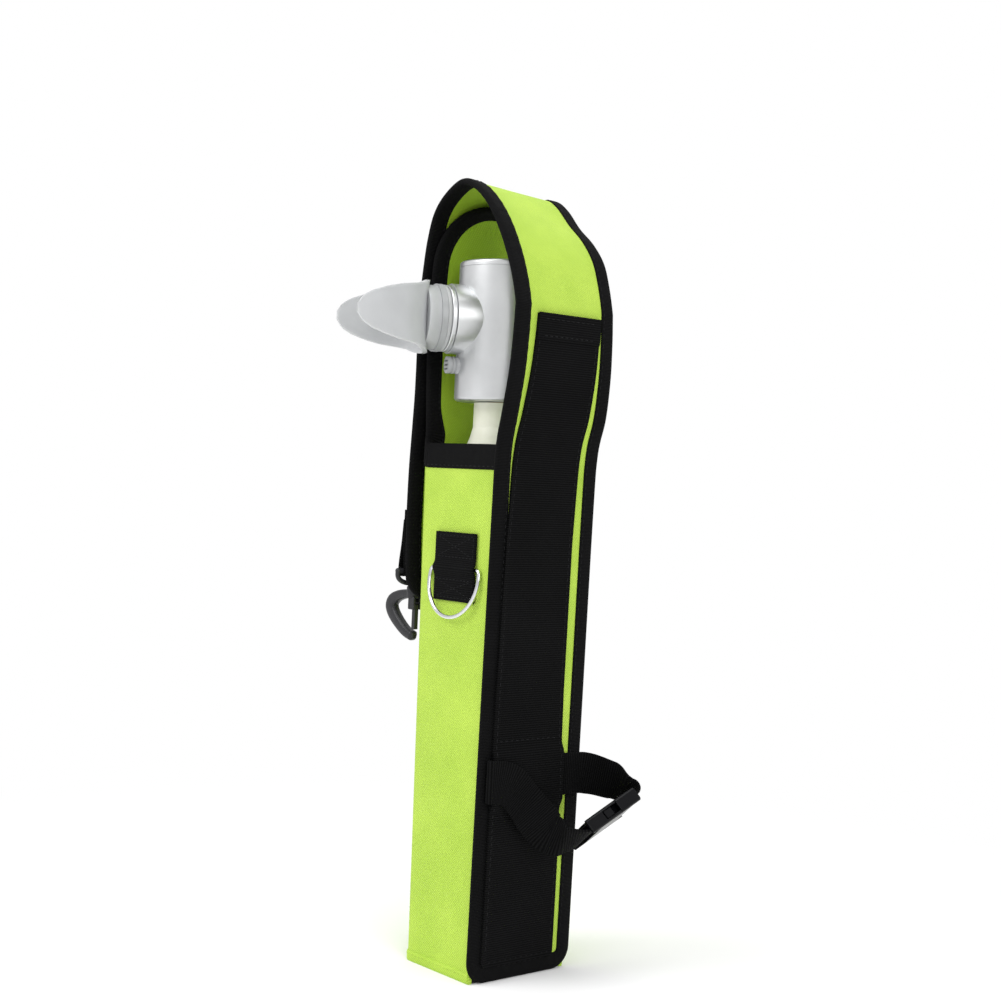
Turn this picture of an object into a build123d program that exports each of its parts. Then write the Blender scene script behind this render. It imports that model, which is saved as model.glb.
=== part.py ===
from build123d import *
import os
from math import atan2, cos, radians, sin

# Portable oxygen cylinder standing in its fabric carrier, in millimetres.
# +Z is up and z = 0 is the floor. The mouthpiece leaves the carrier towards -Y, the belt
# side of the carrier faces +X, and the closing flap hangs down the -X side.

# ---------------------------------------------------------------- driving dimensions
FABRIC = 2.5            # padded coated fabric
TAPE = 0.8              # edge binding tape
TAPE_FACE = 9.5         # how far the tape reaches over a face
WEB = 1.5               # thickness of every webbing
STRIP_HALF = 38.0       # half width of the long strip: back, crown and tail
POCKET_HALF_Y = 36.0    # outer faces of the pocket's two sides
POCKET_X_LOW = 31.5     # outer half depth of the pocket on the floor
POCKET_X_MOUTH = 36.5   # outer half depth of the pocket at its mouth
MOUTH_Z = 308.0
MOUTH_TAPE = 14.0       # depth of the tape round the mouth
FLOOR_T = 3.0           # bottom panel
CORNER_R = 9.0          # soft fold between the pocket's faces
BACK_CORNER_R = 20.0    # rounded lower corners of the back
BACK_TOP_Z = 384.6      # the back ends here, at the fold of the crown
FOLD_GAP = 2.9          # half of the gap left at each fabric fold

CYL_Y = -5.0            # the cylinder stands nearer the mouthpiece side
TANK_R = 27.0
TANK_WALL = 3.0
TANK_FOOT_R = 8.0
SHOULDER_Z = 283.0
NECK_R = 17.5
NECK_Z = 315.0
HEAD_Z = 334.0          # underside of the regulator head
HEAD_H = 82.0
HEAD_R = 29.5
HEAD_WALL = 2.5
CAP_RIM = 3.4           # visible rim of the top cap
PORT_Z = 381.5          # centre of the mouthpiece port
SIDE_PORT_Z = 352.0     # centre of the gauge, fill and burst ports
RUN = 0.05              # radial running clearance
GAP = 0.3               # clearance between parts that pass each other

HEAD_TOP = HEAD_Z + HEAD_H
CAP_Z = HEAD_TOP - CAP_RIM
HEAD_BORE = HEAD_R - HEAD_WALL
STEP = "parts"

nodes = {}


# ---------------------------------------------------------------- helpers
def upright(z, x=0.0, y=CYL_Y):
    """Plane at height z with its normal up, on the cylinder's axis by default."""
    return Plane(origin=(x, y, z), x_dir=(1, 0, 0), z_dir=(0, 0, 1))


def outward(azimuth, z):
    """Plane on the cylinder's axis whose normal points out; azimuth 0 is -Y and 90 is +X."""
    a = radians(azimuth)
    return Plane(origin=(0, CYL_Y, z), x_dir=(0, 0, 1), z_dir=(sin(a), -cos(a), 0))


def rod(plane, r, start, end):
    """Round bar along the plane's normal, from start to end."""
    bar = Cylinder(r, end - start, align=(Align.CENTER, Align.CENTER, Align.MIN))
    return plane.offset(start).location * bar


def tube(plane, r_out, r_in, start, end):
    return rod(plane, r_out, start, end) - rod(plane, r_in, start - 1, end + 1)


def block(x, y, z):
    """Box from (low, high) pairs."""
    size = Box(x[1] - x[0], y[1] - y[0], z[1] - z[0], align=(Align.MIN,) * 3)
    return Pos(x[0], y[0], z[0]) * size


def turned(plane, profile):
    """Solid of revolution from (radius, height) points about the plane's normal."""
    face = make_face(Polyline(*profile, close=True))
    face = Plane.XZ * face
    return plane.location * revolve(face, Axis.Z)


def wire_along(path, r):
    """Round wire of radius r swept along a path."""
    return sweep(Plane(origin=path @ 0, z_dir=path % 0) * Circle(r), path)


def spring(plane, coil_r, wire_r, start, end, turns):
    """Open coil between two heights of a plane, its ends inside those heights."""
    height = end - start - 2 * wire_r
    coil = Helix(pitch=height / turns, height=height, radius=coil_r)
    section = Plane(origin=coil @ 0, z_dir=coil % 0) * Circle(wire_r)
    body = sweep(section, coil, is_frenet=True)
    return plane.offset(start + wire_r).location * body


def hex_bar(plane, across, start, end):
    shape = extrude(RegularPolygon(across / 2, 6, major_radius=False), end - start)
    return plane.offset(start).location * shape


class Run:
    """A strip's path in the XZ plane, from which layers are cut at offsets from its outer face.

    side is +1 where the outer face lies to the left of the direction of travel, else -1."""

    SAMPLES = 17

    def __init__(self, points, side, straight=False):
        self.edge = Polyline(*points) if straight else Spline(*points)
        self.side = side

    def _offset_point(self, t, d):
        p = self.edge @ t
        tangent = (self.edge % t).normalized()
        return (p.X - self.side * tangent.Y * d, p.Y + self.side * tangent.X * d)

    def layer(self, low, high, y_low, y_high, t_low=0.0, t_high=1.0):
        """Solid between offsets low and high of the outer face, over a width in Y."""
        ts = [t_low + (t_high - t_low) * i / (self.SAMPLES - 1) for i in range(self.SAMPLES)]
        inner = Spline(*[self._offset_point(t, low) for t in ts])
        outer = Spline(*[self._offset_point(t, high) for t in ts])
        ends = [Line(inner @ 0, outer @ 0), Line(inner @ 1, outer @ 1)]
        face = make_face([inner, outer, *ends])
        solid = extrude(Plane.XZ * face, y_high - y_low)
        return Pos(0, y_high, 0) * solid


def bound_edges(run, half, t_low, t_high, reach=TAPE_FACE):
    """Binding tape folded over both long edges of a strip."""
    tapes = []
    for s in (-1, 1):
        near, edge, far = s * (half - reach), s * half, s * (half + TAPE)
        face_low, face_high = sorted((near, edge))
        edge_low, edge_high = sorted((edge, far))
        tape = run.layer(0, TAPE, face_low, face_high, t_low, t_high)
        tape += run.layer(-FABRIC - TAPE, -FABRIC, face_low, face_high, t_low, t_high)
        tape += run.layer(-FABRIC - TAPE, TAPE, edge_low, edge_high, t_low, t_high)
        tapes.append(tape)
    return tapes


def outline_yz(half, low, high, corner):
    """Face in the YZ plane with rounded lower corners, as a prism along X."""
    face = Plane.YZ * (Pos(0, (low + high) / 2) * Rectangle(2 * half, high - low))
    prism = Pos(-100, 0, 0) * extrude(face, 200)
    low_edges = prism.edges().filter_by(Axis.X).group_by(Axis.Z)[0]
    return fillet(low_edges, corner)


# ---------------------------------------------------------------- carrier: pocket and back
def half_depth(z):
    """Outer half depth of the pocket at a height: it widens towards its mouth."""
    return POCKET_X_LOW + (POCKET_X_MOUTH - POCKET_X_LOW) * z / MOUTH_Z


def pocket_section(z, inset, square_x):
    """Closed outline of the U-shaped wrap: rounded at -X, square at square_x."""
    x, y = half_depth(z) - inset, POCKET_HALF_Y - inset
    r = CORNER_R - inset
    return [
        (square_x, -y), (r - x, -y), (-x, r - y),
        (-x, y - r), (r - x, y), (square_x, y),
    ]


def pocket_face(z):
    """U-shaped section of the wrap, open towards the back."""
    square_x = half_depth(z) - FABRIC
    def u_line(inset):
        a, b, c, d, e, f = pocket_section(z, inset, square_x)
        r = CORNER_R - inset
        return [Line(a, b), RadiusArc(b, c, r), Line(c, d), RadiusArc(d, e, r), Line(e, f)]
    outer, inner = u_line(0.0), u_line(FABRIC)
    ends = [Line(outer[0] @ 0, inner[0] @ 0), Line(outer[-1] @ 1, inner[-1] @ 1)]
    return Plane.XY.offset(z) * make_face([*outer, *inner, *ends])


TONGUE_TOP = 445.0
tongue_run = Run(
    [(-POCKET_X_MOUTH + 0.2, MOUTH_Z - 8), (-POCKET_X_MOUTH, MOUTH_Z), (-37.6, 340), (-37.9, 375),
     (-37.0, 400), (-35.4, 418), (-32.4, 432), (-27.5, TONGUE_TOP)], side=+1)
back_points = [(POCKET_X_LOW, 0.0), (half_depth(150), 150), (half_depth(270), 270), (37.0, 306),
               (42.3, 327), (47.6, 350), (49.9, 370), (50.0, BACK_TOP_Z)]
back_run = Run(back_points, side=-1)
CROWN_FOLD = (50.0 - FABRIC / 2, BACK_TOP_Z + FOLD_GAP)
crown_points = [(50.0, CROWN_FOLD[1] + FOLD_GAP), (44.8, 404.5), (37.6, 420.5), (28.2, 436.5), (17.2, 449.5),
                (5.5, 458.2), (-8, 461), (-22.5, 455.5), (-32.5, 445), (-37.8, 430), (-40.8, 413), (-42.8, 395),
                (-43.4, 374.5)]
crown_run = Run(crown_points, side=-1)
TOP_FOLD = (-8, 461)      # the crown also folds at its highest point
TOP_FOLD_GAP = 1.7
TAIL_FOLD = (-43.4 + FABRIC / 2, 374.5 - FOLD_GAP)
tail_points = [(-43.5, TAIL_FOLD[1] - FOLD_GAP), (-43.6, 340), (-44.8, 316), (-46.2, 290), (-46.3, 255),
               (-44.6, 228), (-42.4, 214)]
tail_run = Run(tail_points, side=-1)
TAIL_END_Z = 214.0


TONGUE_HALF = 34.6


def above_dome(grow):
    """What lies outside the tongue's domed top, as a prism along X. grow moves the dome outwards."""
    r = TONGUE_HALF + grow
    centre_z = TONGUE_TOP - TONGUE_HALF
    hood = Plane.YZ * (Pos(0, centre_z + 40) * Rectangle(200, 80))
    hood -= Plane.YZ * (Pos(0, centre_z) * Circle(r))
    return Pos(-100, 0, 0) * extrude(hood, 100)


def make_pocket():
    wrap = loft([pocket_face(0.0), pocket_face(MOUTH_Z)], ruled=True)
    wrap -= back_run.layer(-FABRIC, 6, -50, 50)
    half = TONGUE_HALF
    tongue = tongue_run.layer(-FABRIC, 0, -half, half) - above_dome(0.0)
    tongue &= block((-60, 0), (-60, 60), (MOUTH_Z - 0.5, 500))
    nodes["pocket_wrap"] = wrap + tongue
    # tape over the pocket's mouth on both sides, then up and round the tongue's dome
    tape_low = MOUTH_Z - MOUTH_TAPE
    rims = []
    for s in (-1, 1):
        y_pair = sorted((s * (POCKET_HALF_Y - FABRIC - TAPE), s * (POCKET_HALF_Y + TAPE)))
        x_pair = (CORNER_R - POCKET_X_MOUTH, half_depth(tape_low) - FABRIC - 0.2)
        rims.append(block(x_pair, y_pair, (tape_low, MOUTH_Z + TAPE)) - wrap - tongue)
    grown = tongue_run.layer(-FABRIC - TAPE, TAPE, -half - TAPE, half + TAPE) - above_dome(TAPE)
    middle = tongue_run.layer(-FABRIC - 5, 5, TAPE_FACE - half, half - TAPE_FACE)
    middle -= above_dome(-TAPE_FACE)
    edge_tape = (grown - middle - tongue) - block((-60, 0), (-60, 60), (0, MOUTH_Z + TAPE))
    rims = [rim - back_run.layer(-FABRIC - TAPE, 6, -50, 50) for rim in rims]
    nodes["mouth_binding"] = Compound([*rims, *edge_tape.solids()])
    nodes["bottom_panel"] = pocket_floor()


def pocket_floor():
    """Stiff bottom panel between the pocket's walls and the back."""
    back_edge = half_depth(0.0) - FABRIC - TAPE - 0.1
    a, b, c, d, e, f = pocket_section(0.0, FABRIC + 0.1, back_edge)
    r = CORNER_R - FABRIC - 0.1
    lines = [Line(a, b), RadiusArc(b, c, r), Line(c, d), RadiusArc(d, e, r), Line(e, f), Line(f, a)]
    return extrude(make_face(lines), FLOOR_T)


def make_back():
    outline = outline_yz(STRIP_HALF, 0.8, 500, BACK_CORNER_R)
    grown = outline_yz(STRIP_HALF + TAPE, 0.0, 500, BACK_CORNER_R + TAPE)
    shrunk = outline_yz(STRIP_HALF - TAPE_FACE, 0.8 + TAPE_FACE, 500, BACK_CORNER_R - TAPE_FACE)
    full = STRIP_HALF + TAPE
    nodes["back_panel"] = back_run.layer(-FABRIC, 0, -full, full) & outline
    face_tape = (back_run.layer(0, TAPE, -full, full) & outline) - shrunk
    edge_tape = (back_run.layer(-FABRIC - TAPE, TAPE, -full, full) & grown) - outline
    inner_tape = (back_run.layer(-FABRIC - TAPE, -FABRIC, -full, full) & outline)
    inner_tape -= block((0, 60), (0.1 - POCKET_HALF_Y, POCKET_HALF_Y - 0.1), (-1, 500))
    pocket_zone = block((0, 60), (-POCKET_HALF_Y - 0.05, POCKET_HALF_Y + 0.05), (-1, MOUTH_Z + 2))
    tape = face_tape + edge_tape + (inner_tape - pocket_zone)
    nodes["back_binding"] = tape - nodes["pocket_wrap"] - nodes["mouth_binding"]
    # the webbing lies on the back and rises over the leg strap's tunnel
    web = back_run.layer(0.02, WEB, BACK_WEB_NEAR, BACK_WEB_FAR)
    low, high = STRAP_Z - STRAP_HALF - 7, STRAP_Z + STRAP_HALF + 7
    web -= block((0, 80), (-60, 60), (low, high))
    web &= outline_yz(-BACK_WEB_NEAR, 0.95 + TAPE_FACE, BACK_TOP_Z - 0.5, BACK_CORNER_R - TAPE_FACE)
    rise = [(low, 0.02), (low + 5, TUNNEL), (high - 5, TUNNEL), (high, 0.02)]
    inner = [(half_depth(z) + d, z) for z, d in rise]
    outer = [(x + WEB, z) for x, z in reversed(inner)]
    bridge = extrude(Plane.XZ * make_face(Polyline(*inner, *outer, close=True)), BACK_WEB_FAR - BACK_WEB_NEAR)
    nodes["back_webbing"] = web + Pos(0, BACK_WEB_FAR, 0) * bridge


BACK_WEB_NEAR, BACK_WEB_FAR = -28.35, 24.65          # its two edges in Y
STRAP_HALF = 12.5        # 25 mm leg strap
STRAP_Z = 117.0          # height of its tunnel
TUNNEL = WEB + 1.1       # room for the strap under the webbing, over the binding at its mouth


# ---------------------------------------------------------------- carrier: crown and tail flap
def make_flap():
    half_gap = TOP_FOLD_GAP / crown_run.edge.length
    at = crown_run.edge.param_at_point(TOP_FOLD)
    for name, t_low, t_high in (("crown_rear", 0.0, at - half_gap), ("crown_front", at + half_gap, 1.0)):
        panel = crown_run.layer(-FABRIC, 0, -STRIP_HALF, STRIP_HALF, t_low, t_high)
        nodes[f"{name}_panel"] = panel
        nodes[f"{name}_binding"] = Compound(bound_edges(crown_run, STRIP_HALF, t_low, t_high))
    corner = 14.0
    outline = outline_yz(STRIP_HALF, TAIL_END_Z + TAPE, 400, corner)
    grown = outline_yz(STRIP_HALF + TAPE, TAIL_END_Z, 400, corner + TAPE)
    shrunk = outline_yz(STRIP_HALF - TAPE_FACE, TAIL_END_Z + TAPE + TAPE_FACE, 400, corner - TAPE_FACE)
    full = STRIP_HALF + TAPE
    nodes["tail_panel"] = tail_run.layer(-FABRIC, 0, -full, full) & outline
    faces = tail_run.layer(-FABRIC - TAPE, TAPE, -full, full) & outline
    faces -= tail_run.layer(-FABRIC, 0, -full, full)
    edge = (tail_run.layer(-FABRIC - TAPE, TAPE, -full, full) & grown) - outline
    nodes["tail_binding"] = (faces - shrunk) + edge


# ---------------------------------------------------------------- carrier: rings and their tabs
RING_BAR_R = 1.2
RING_CORNER_R = 2.6
RING_TILT = 8.0          # the bow rests against its tab's lower half
SIDE_RING = dict(bar_half=19.6, drop=28.5)    # D-ring for 36 mm webbing
FRONT_RING = dict(bar_half=10.4, drop=17.0)   # D-ring for 19 mm webbing
SIDE_RING_AT = (2.0, 236.0)               # x and z of the bar on the mouthpiece side
FRONT_RING_AT = (-14.0, 176.0)            # y and z of the bar on the flap side


def d_ring(bar_half, drop):
    """D-ring in its own XY plane: the bar on the X axis, one round bow towards -Y."""
    turned = 2 * atan2(bar_half, drop - 2 * RING_CORNER_R)
    x = bar_half + RING_CORNER_R * sin(turned)
    y = RING_CORNER_R * (cos(turned) - 1)
    bar = Line((-bar_half, 0), (bar_half, 0))
    right = RadiusArc((bar_half, 0), (x, y), RING_CORNER_R)
    bow = ThreePointArc((x, y), (0, -drop), (-x, y))
    left = RadiusArc((-x, y), (-bar_half, 0), RING_CORNER_R)
    return Rot(-RING_TILT, 0, 0) * wire_along(Wire([bar, right, bow, left]), RING_BAR_R)


def ring_tab(width, up, down):
    """Webbing tab over a bar. Local X runs along the bar, Y is up and Z leaves the panel."""
    inner = RING_BAR_R + 0.25
    centre = Pos(0, inner)
    profile = Pos((up - down) / 2, WEB / 2) * Rectangle(up + down, WEB)
    profile += centre * Circle(inner + WEB)
    profile -= centre * Circle(inner)
    profile -= Pos(0, -50) * Rectangle(200, 100)
    profile -= Pos(0, inner / 2) * Rectangle(2 * inner, inner)
    solid = extrude(profile, width / 2, both=True)
    return Rot(0, 0, 90) * Rot(90, 0, 0) * solid


def make_rings():
    lift = RING_BAR_R + 0.25
    x, z = SIDE_RING_AT
    side = Plane(origin=(x, -POCKET_HALF_Y, z), x_dir=(1, 0, 0), z_dir=(0, -1, 0))
    nodes["side_ring_tab"] = side.location * ring_tab(36, 21, 19)
    nodes["side_ring"] = side.offset(lift).location * d_ring(**SIDE_RING)
    y, z = FRONT_RING_AT
    lean = (POCKET_X_MOUTH - POCKET_X_LOW) / MOUTH_Z
    front = Plane(origin=(-half_depth(z), y, z), x_dir=(0, -1, 0), z_dir=(-1, 0, -lean))
    nodes["front_ring_tab"] = front.location * ring_tab(19, 16, 10)
    nodes["front_ring"] = front.offset(lift).location * d_ring(**FRONT_RING)


# ---------------------------------------------------------------- carrier: snap hook on the tail
HOOK_X, HOOK_Y = -49.4, -28.0
EYE_BAR_Z = 231.0
EYE_BAR_R = 1.8
BARREL_LOW, BARREL_TOP = 214.3, 221.7    # swivel barrel of the hook
GATE_X = 2.6                             # gate's centre line, from the barrel's axis
GATE_PIN_Z = 210.0
HOOK_HALF_T = 3.0


def make_hook():
    inner = EYE_BAR_R + 0.25
    bar_plane = Plane(origin=(HOOK_X, HOOK_Y, EYE_BAR_Z), x_dir=(1, 0, 0), z_dir=(0, 1, 0))
    # webbing tab: sewn to the tail's outer face, with a loop round the eye's bar
    tab = tail_run.layer(TAPE + 0.05, TAPE + WEB, HOOK_Y - 10, HOOK_Y + 10)
    tab &= block((-80, 0), (-60, 60), (EYE_BAR_Z, 268))
    tab += tube(bar_plane, inner + WEB, inner, -10, 10)
    tab = tab - rod(bar_plane, inner, -15, 15) - tail_run.layer(-6, TAPE + 0.02, -60, 60)
    nodes["tail_tab"] = tab
    # eye: bar, two arms and the stud that the hook turns on
    core = upright(0, HOOK_X, HOOK_Y)
    eye = rod(bar_plane, EYE_BAR_R, -12.5, 12.5)
    lower = BARREL_TOP + 2.1
    for s in (-1, 1):
        arm = Spline((s * 12.2, EYE_BAR_Z), (s * 11.6, EYE_BAR_Z - 4.5), (s * 6, lower), (0, lower))
        arm = Plane(origin=(HOOK_X, HOOK_Y, 0), x_dir=(0, 1, 0), z_dir=(1, 0, 0)) * arm
        eye += wire_along(arm, EYE_BAR_R * 0.85)
        eye += Pos(HOOK_X, HOOK_Y + s * 12.3, EYE_BAR_Z) * Sphere(EYE_BAR_R)
    eye += rod(core, 3.4, BARREL_TOP + 0.05, BARREL_TOP + 3.6)
    eye += rod(core, 1.5, BARREL_LOW - 1.2, BARREL_TOP + 1)
    eye += rod(core, 2.4, BARREL_LOW - 2.6, BARREL_LOW - 0.3)
    nodes["hook_eye"] = eye
    # hook: a bow from the barrel that turns back under the gate
    flat = Plane(origin=(HOOK_X, HOOK_Y, 0), x_dir=(1, 0, 0), z_dir=(0, -1, 0))
    outline = make_face(Polyline((3.2, BARREL_LOW - 6), (3.2, BARREL_TOP), (-5.5, BARREL_TOP),
                                 (-26.4, 207.5), (-9, 189.5), (4.4, 187.8), (4.4, 194), (-6, 196.2),
                                 (-15.5, 206.8), (-4.6, BARREL_LOW - 1), (0.5, BARREL_LOW - 7.5),
                                 close=True))
    bow = extrude(outline, HOOK_HALF_T, both=True)
    bow = chamfer(bow.edges().filter_by(Axis.Z, reverse=True).group_by(Axis.Z)[-1], 0.8)
    bow = flat.location * bow
    bow += rod(core, 4.4, BARREL_LOW, BARREL_TOP)
    bow -= rod(core, 1.5 + RUN, BARREL_LOW - 5, BARREL_TOP + 5)
    bow -= rod(core, 3.0, BARREL_LOW - 3.2, BARREL_LOW)
    pin_plane = Plane(origin=(HOOK_X + GATE_X, HOOK_Y, GATE_PIN_Z), x_dir=(1, 0, 0), z_dir=(0, 1, 0))
    slot = block((HOOK_X + GATE_X - 2.4, HOOK_X + 9), (HOOK_Y - 1.6, HOOK_Y + 1.6),
                 (GATE_PIN_Z - 9, GATE_PIN_Z + 2.2))
    bow = bow - slot + rod(pin_plane, 0.7, -2.6, 2.6)
    nodes["hook_body"] = bow
    # gate: a sprung tongue that closes the bow
    gate = block((HOOK_X + GATE_X - 1.5, HOOK_X + GATE_X + 1.5), (HOOK_Y - 1.4, HOOK_Y + 1.4),
                 (195.6, GATE_PIN_Z))
    gate += rod(pin_plane, 1.5, -1.4, 1.4)
    nodes["hook_gate"] = gate - rod(pin_plane, 0.7 + RUN, -3, 3)


# ---------------------------------------------------------------- carrier: leg strap and its buckle
BUCKLE_AT = Vector(62, 15, 86.5)
BUCKLE_DIR = Vector(0, 0.915, 0.404).normalized()
BUCKLE_WIDE = Vector(0.80, -0.24, 0.55)
SOCKET_BAR_U, PLUG_BAR_U = 3.3, 36.7       # strap bars, along the buckle
SOCKET_END_U, PLUG_START_U = 24.0, 24.3
BUCKLE_LEN = 40.0
BAR_R = 1.3
LOOP_R = BAR_R + 0.25


def square_to(wide, along):
    """The part of a width direction that is square to the direction of travel."""
    along = along.normalized()
    return (wide - along * wide.dot(along)).normalized()


WIDE = square_to(BUCKLE_WIDE, BUCKLE_DIR)
FLAT = BUCKLE_DIR.cross(WIDE)              # buckle's thickness direction


def along_buckle(u, n=0.0):
    return BUCKLE_AT + BUCKLE_DIR * u + FLAT * n


def ribbon(stations, steps=4):
    """Webbing through (centre, direction, width direction) stations, each span a smooth curve."""
    stations = [tuple(Vector(*v) for v in station) for station in stations]
    sections = []
    for i in range(steps * (len(stations) - 1) + 1):
        k = min(i // steps, len(stations) - 2)
        t = i / steps - k
        (a, a_dir, a_wide), (b, b_dir, b_wide) = stations[k], stations[k + 1]
        reach = (b - a).length
        a_dir, b_dir = a_dir.normalized() * reach, b_dir.normalized() * reach
        centre = (a * (2 * t**3 - 3 * t**2 + 1) + a_dir * (t**3 - 2 * t**2 + t)
                  + b * (3 * t**2 - 2 * t**3) + b_dir * (t**3 - t**2))
        along = (a * (6 * t**2 - 6 * t) + a_dir * (3 * t**2 - 4 * t + 1)
                 + b * (6 * t - 6 * t**2) + b_dir * (3 * t**2 - 2 * t))
        wide = square_to(a_wide * (1 - t) + b_wide * t, along)
        plane = Plane(origin=centre, x_dir=wide, z_dir=along)
        sections.append(plane * Rectangle(2 * STRAP_HALF, WEB))
    return loft(sections, ruled=True)


def bar_plane_at(u):
    return Plane(origin=along_buckle(u), x_dir=BUCKLE_DIR, z_dir=WIDE)


def end_loop(u, s):
    """Webbing loop round a buckle bar; s is the side on which the strap leaves."""
    loop = tube(bar_plane_at(u), LOOP_R + WEB, LOOP_R, -12.2, 12.2)
    reach = sorted((u + s * (LOOP_R + 0.3), u + s * (LOOP_R + WEB + 2.5)))
    local = Plane(origin=along_buckle(0), x_dir=BUCKLE_DIR, z_dir=FLAT)
    stub = block(reach, (-12.2, 12.2), (-WEB / 2, WEB / 2))
    return loop + local.location * stub


def make_leg_strap():
    lean = (POCKET_X_MOUTH - POCKET_X_LOW) / MOUTH_Z
    up = (lean, 0, 1)
    x0 = half_depth(STRAP_Z) + 0.15 + WEB / 2
    x_out = half_depth(STRAP_Z) + TUNNEL + WEB + 0.15 + WEB / 2
    far_out = half_depth(STRAP_Z) + TAPE + 0.2 + WEB / 2
    turn_x, turn_y, turn_r = (far_out + x_out) / 2, BACK_WEB_NEAR - 1.6, (x_out - far_out) / 2
    far_stub = [((far_out + 3.1, 41.8, STRAP_Z - 0.6), (-0.62, -0.8, 0.12), (0.05, 0, 1)),
                ((far_out + 0.8, 37, STRAP_Z), (-0.2, -1, 0.02), up),
                ((far_out + 0.1, 30, STRAP_Z), (-0.1, -1, 0), up),
                ((x0, 24, STRAP_Z), (0, -1, 0), up)]
    round_edge = [((turn_x - turn_r * cos(radians(a)), turn_y - turn_r * sin(radians(a)), STRAP_Z),
                   (sin(radians(a)), -cos(radians(a)), 0), up) for a in (0, 60, 120, 180)]
    near = [((x_out + 0.4, -19, STRAP_Z - 3), (0.03, 0.86, -0.5), (0, 0.5, 0.86)),
            ((x_out + 1.6, -9, 104), (0.15, 0.65, -0.72), (0, 0.72, 0.68)),
            ((44, -2, 94), (0.5, 0.5, -0.7), (0.2, 0.62, 0.76)),
            ((51.5, 2.5, 86.5), (0.75, 0.55, -0.35), (0.5, 0.2, 0.84)),
            ((58, 7, 84), (0.55, 0.82, 0.1), (0.7, -0.1, 0.68)),
            (BUCKLE_AT - BUCKLE_DIR * 2.0, BUCKLE_DIR, WIDE)]
    nodes["leg_strap"] = ribbon([*far_stub, *round_edge, *near]) + end_loop(SOCKET_BAR_U, -1)
    # the rest of the far side moves with the plug
    curl_u, curl_r = 42.0, 4.5
    curl = []
    for a in (0, 45, 90, 135):
        s, c = sin(radians(a)), cos(radians(a))
        centre = along_buckle(curl_u + curl_r * s, -curl_r + curl_r * c)
        curl.append((centre, BUCKLE_DIR * c - FLAT * s, WIDE))
    rest = ribbon([
        *curl,
        ((50.5, 50.2, 113.6), (-0.72, -0.62, 0.2), (0.35, -0.1, 0.93)),
        ((far_out + 3.7, 42.6, STRAP_Z - 0.8), (-0.64, -0.76, 0.14), (0.08, 0, 1))])
    nodes["leg_strap_end"] = rest + end_loop(PLUG_BAR_U, 1)


def in_buckle(solid):
    """Moves a solid drawn with X along the buckle, Y across it and Z through it."""
    return Plane(origin=BUCKLE_AT, x_dir=BUCKLE_DIR, z_dir=FLAT).location * solid


def strap_bar(u):
    return Pos(u, 0, 0) * Rot(90, 0, 0) * Cylinder(BAR_R, 28)


def make_buckle():
    half_w, half_t = 14.6, 4.4
    def shell(u_low, u_high):
        body = block((u_low, u_high), (-half_w, half_w), (-half_t, half_t))
        return fillet(body.edges().filter_by(Axis.X), 1.8)
    socket = shell(0, SOCKET_END_U)
    socket -= block((-1, 6.8), (-12.6, 12.6), (-9, 9))
    socket -= block((8.6, 30), (-11.6, 11.6), (-2.6, 2.6))
    for s in (-1, 1):
        socket -= block((12.5, 30), sorted((s * 9, s * 20)), (-2.6, 2.6))
    nodes["buckle_socket"] = in_buckle(socket + strap_bar(SOCKET_BAR_U))
    plug = shell(PLUG_START_U, BUCKLE_LEN)
    plug -= block((33.2, 50), (-12.6, 12.6), (-9, 9))
    plug += block((12, PLUG_START_U + 1), (-2.6, 2.6), (-2.3, 2.3))
    for s in (-1, 1):
        plug -= block((PLUG_START_U - 1, PLUG_START_U + 5), sorted((s * 4.6, s * 13)), (-2.7, 2.7))
    nodes["buckle_plug"] = in_buckle(plug + strap_bar(PLUG_BAR_U))
    for s, name in ((-1, "prong_lower"), (1, "prong_upper")):
        shape = make_face(Polyline((28.6, s * 6.6), (28.6, s * 9.8), (22, s * 10.6), (19, s * 14.2),
                                   (13.4, s * 14.4), (13.0, s * 11.2), (9.6, s * 9.0), (11.4, s * 7.4),
                                   (18, s * 8.2), close=True))
        nodes[name] = in_buckle(extrude(shape, 2.2, both=True))


# ---------------------------------------------------------------- cylinder
AXIS = upright(0)
MOUTH_AZ, GAUGE_AZ, FILL_AZ, BURST_AZ = -22.0, 80.0, 180.0, 262.0
PORT_R = 17.0


def make_tank():
    foot, wall = TANK_FOOT_R, TANK_WALL
    low = FLOOR_T
    outer = [Line((0, low), (TANK_R - foot, low)),
             RadiusArc((TANK_R - foot, low), (TANK_R, low + foot), -foot),
             Line((TANK_R, low + foot), (TANK_R, SHOULDER_Z)),
             Spline((TANK_R, SHOULDER_Z), (25.6, 292), (21, 299.5), (14, 304), tangents=((0, 1), (-1, 0))),
             Line((14, 304), (14, 326)), Line((14, 326), (9.05, 326)), Line((9.05, 326), (9.05, 301))]
    inner = [Spline((9.05, 301), (18.4, 297.4), (22.8, 291), (TANK_R - wall, SHOULDER_Z - 1),
                    tangents=((1, 0), (0, -1))),
             Line((TANK_R - wall, SHOULDER_Z - 1), (TANK_R - wall, low + foot)),
             RadiusArc((TANK_R - wall, low + foot), (TANK_R - foot, low + wall), foot - wall),
             Line((TANK_R - foot, low + wall), (0, low + wall)), Line((0, low + wall), (0, low))]
    tank = revolve(Plane.XZ * make_face([*outer, *inner]), Axis.Z)
    nodes["tank_shell"] = AXIS.location * tank
    collar = [(14.1, 308), (21, 308), (19.2, 312.5), (NECK_R, 319), (NECK_R, HEAD_Z - 0.6),
              (14.1, HEAD_Z - 0.6)]
    nodes["neck_collar"] = turned(AXIS, collar)
    nodes["neck_o_ring"] = AXIS.offset(327.3).location * Torus(11.2, 1.2)


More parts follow.
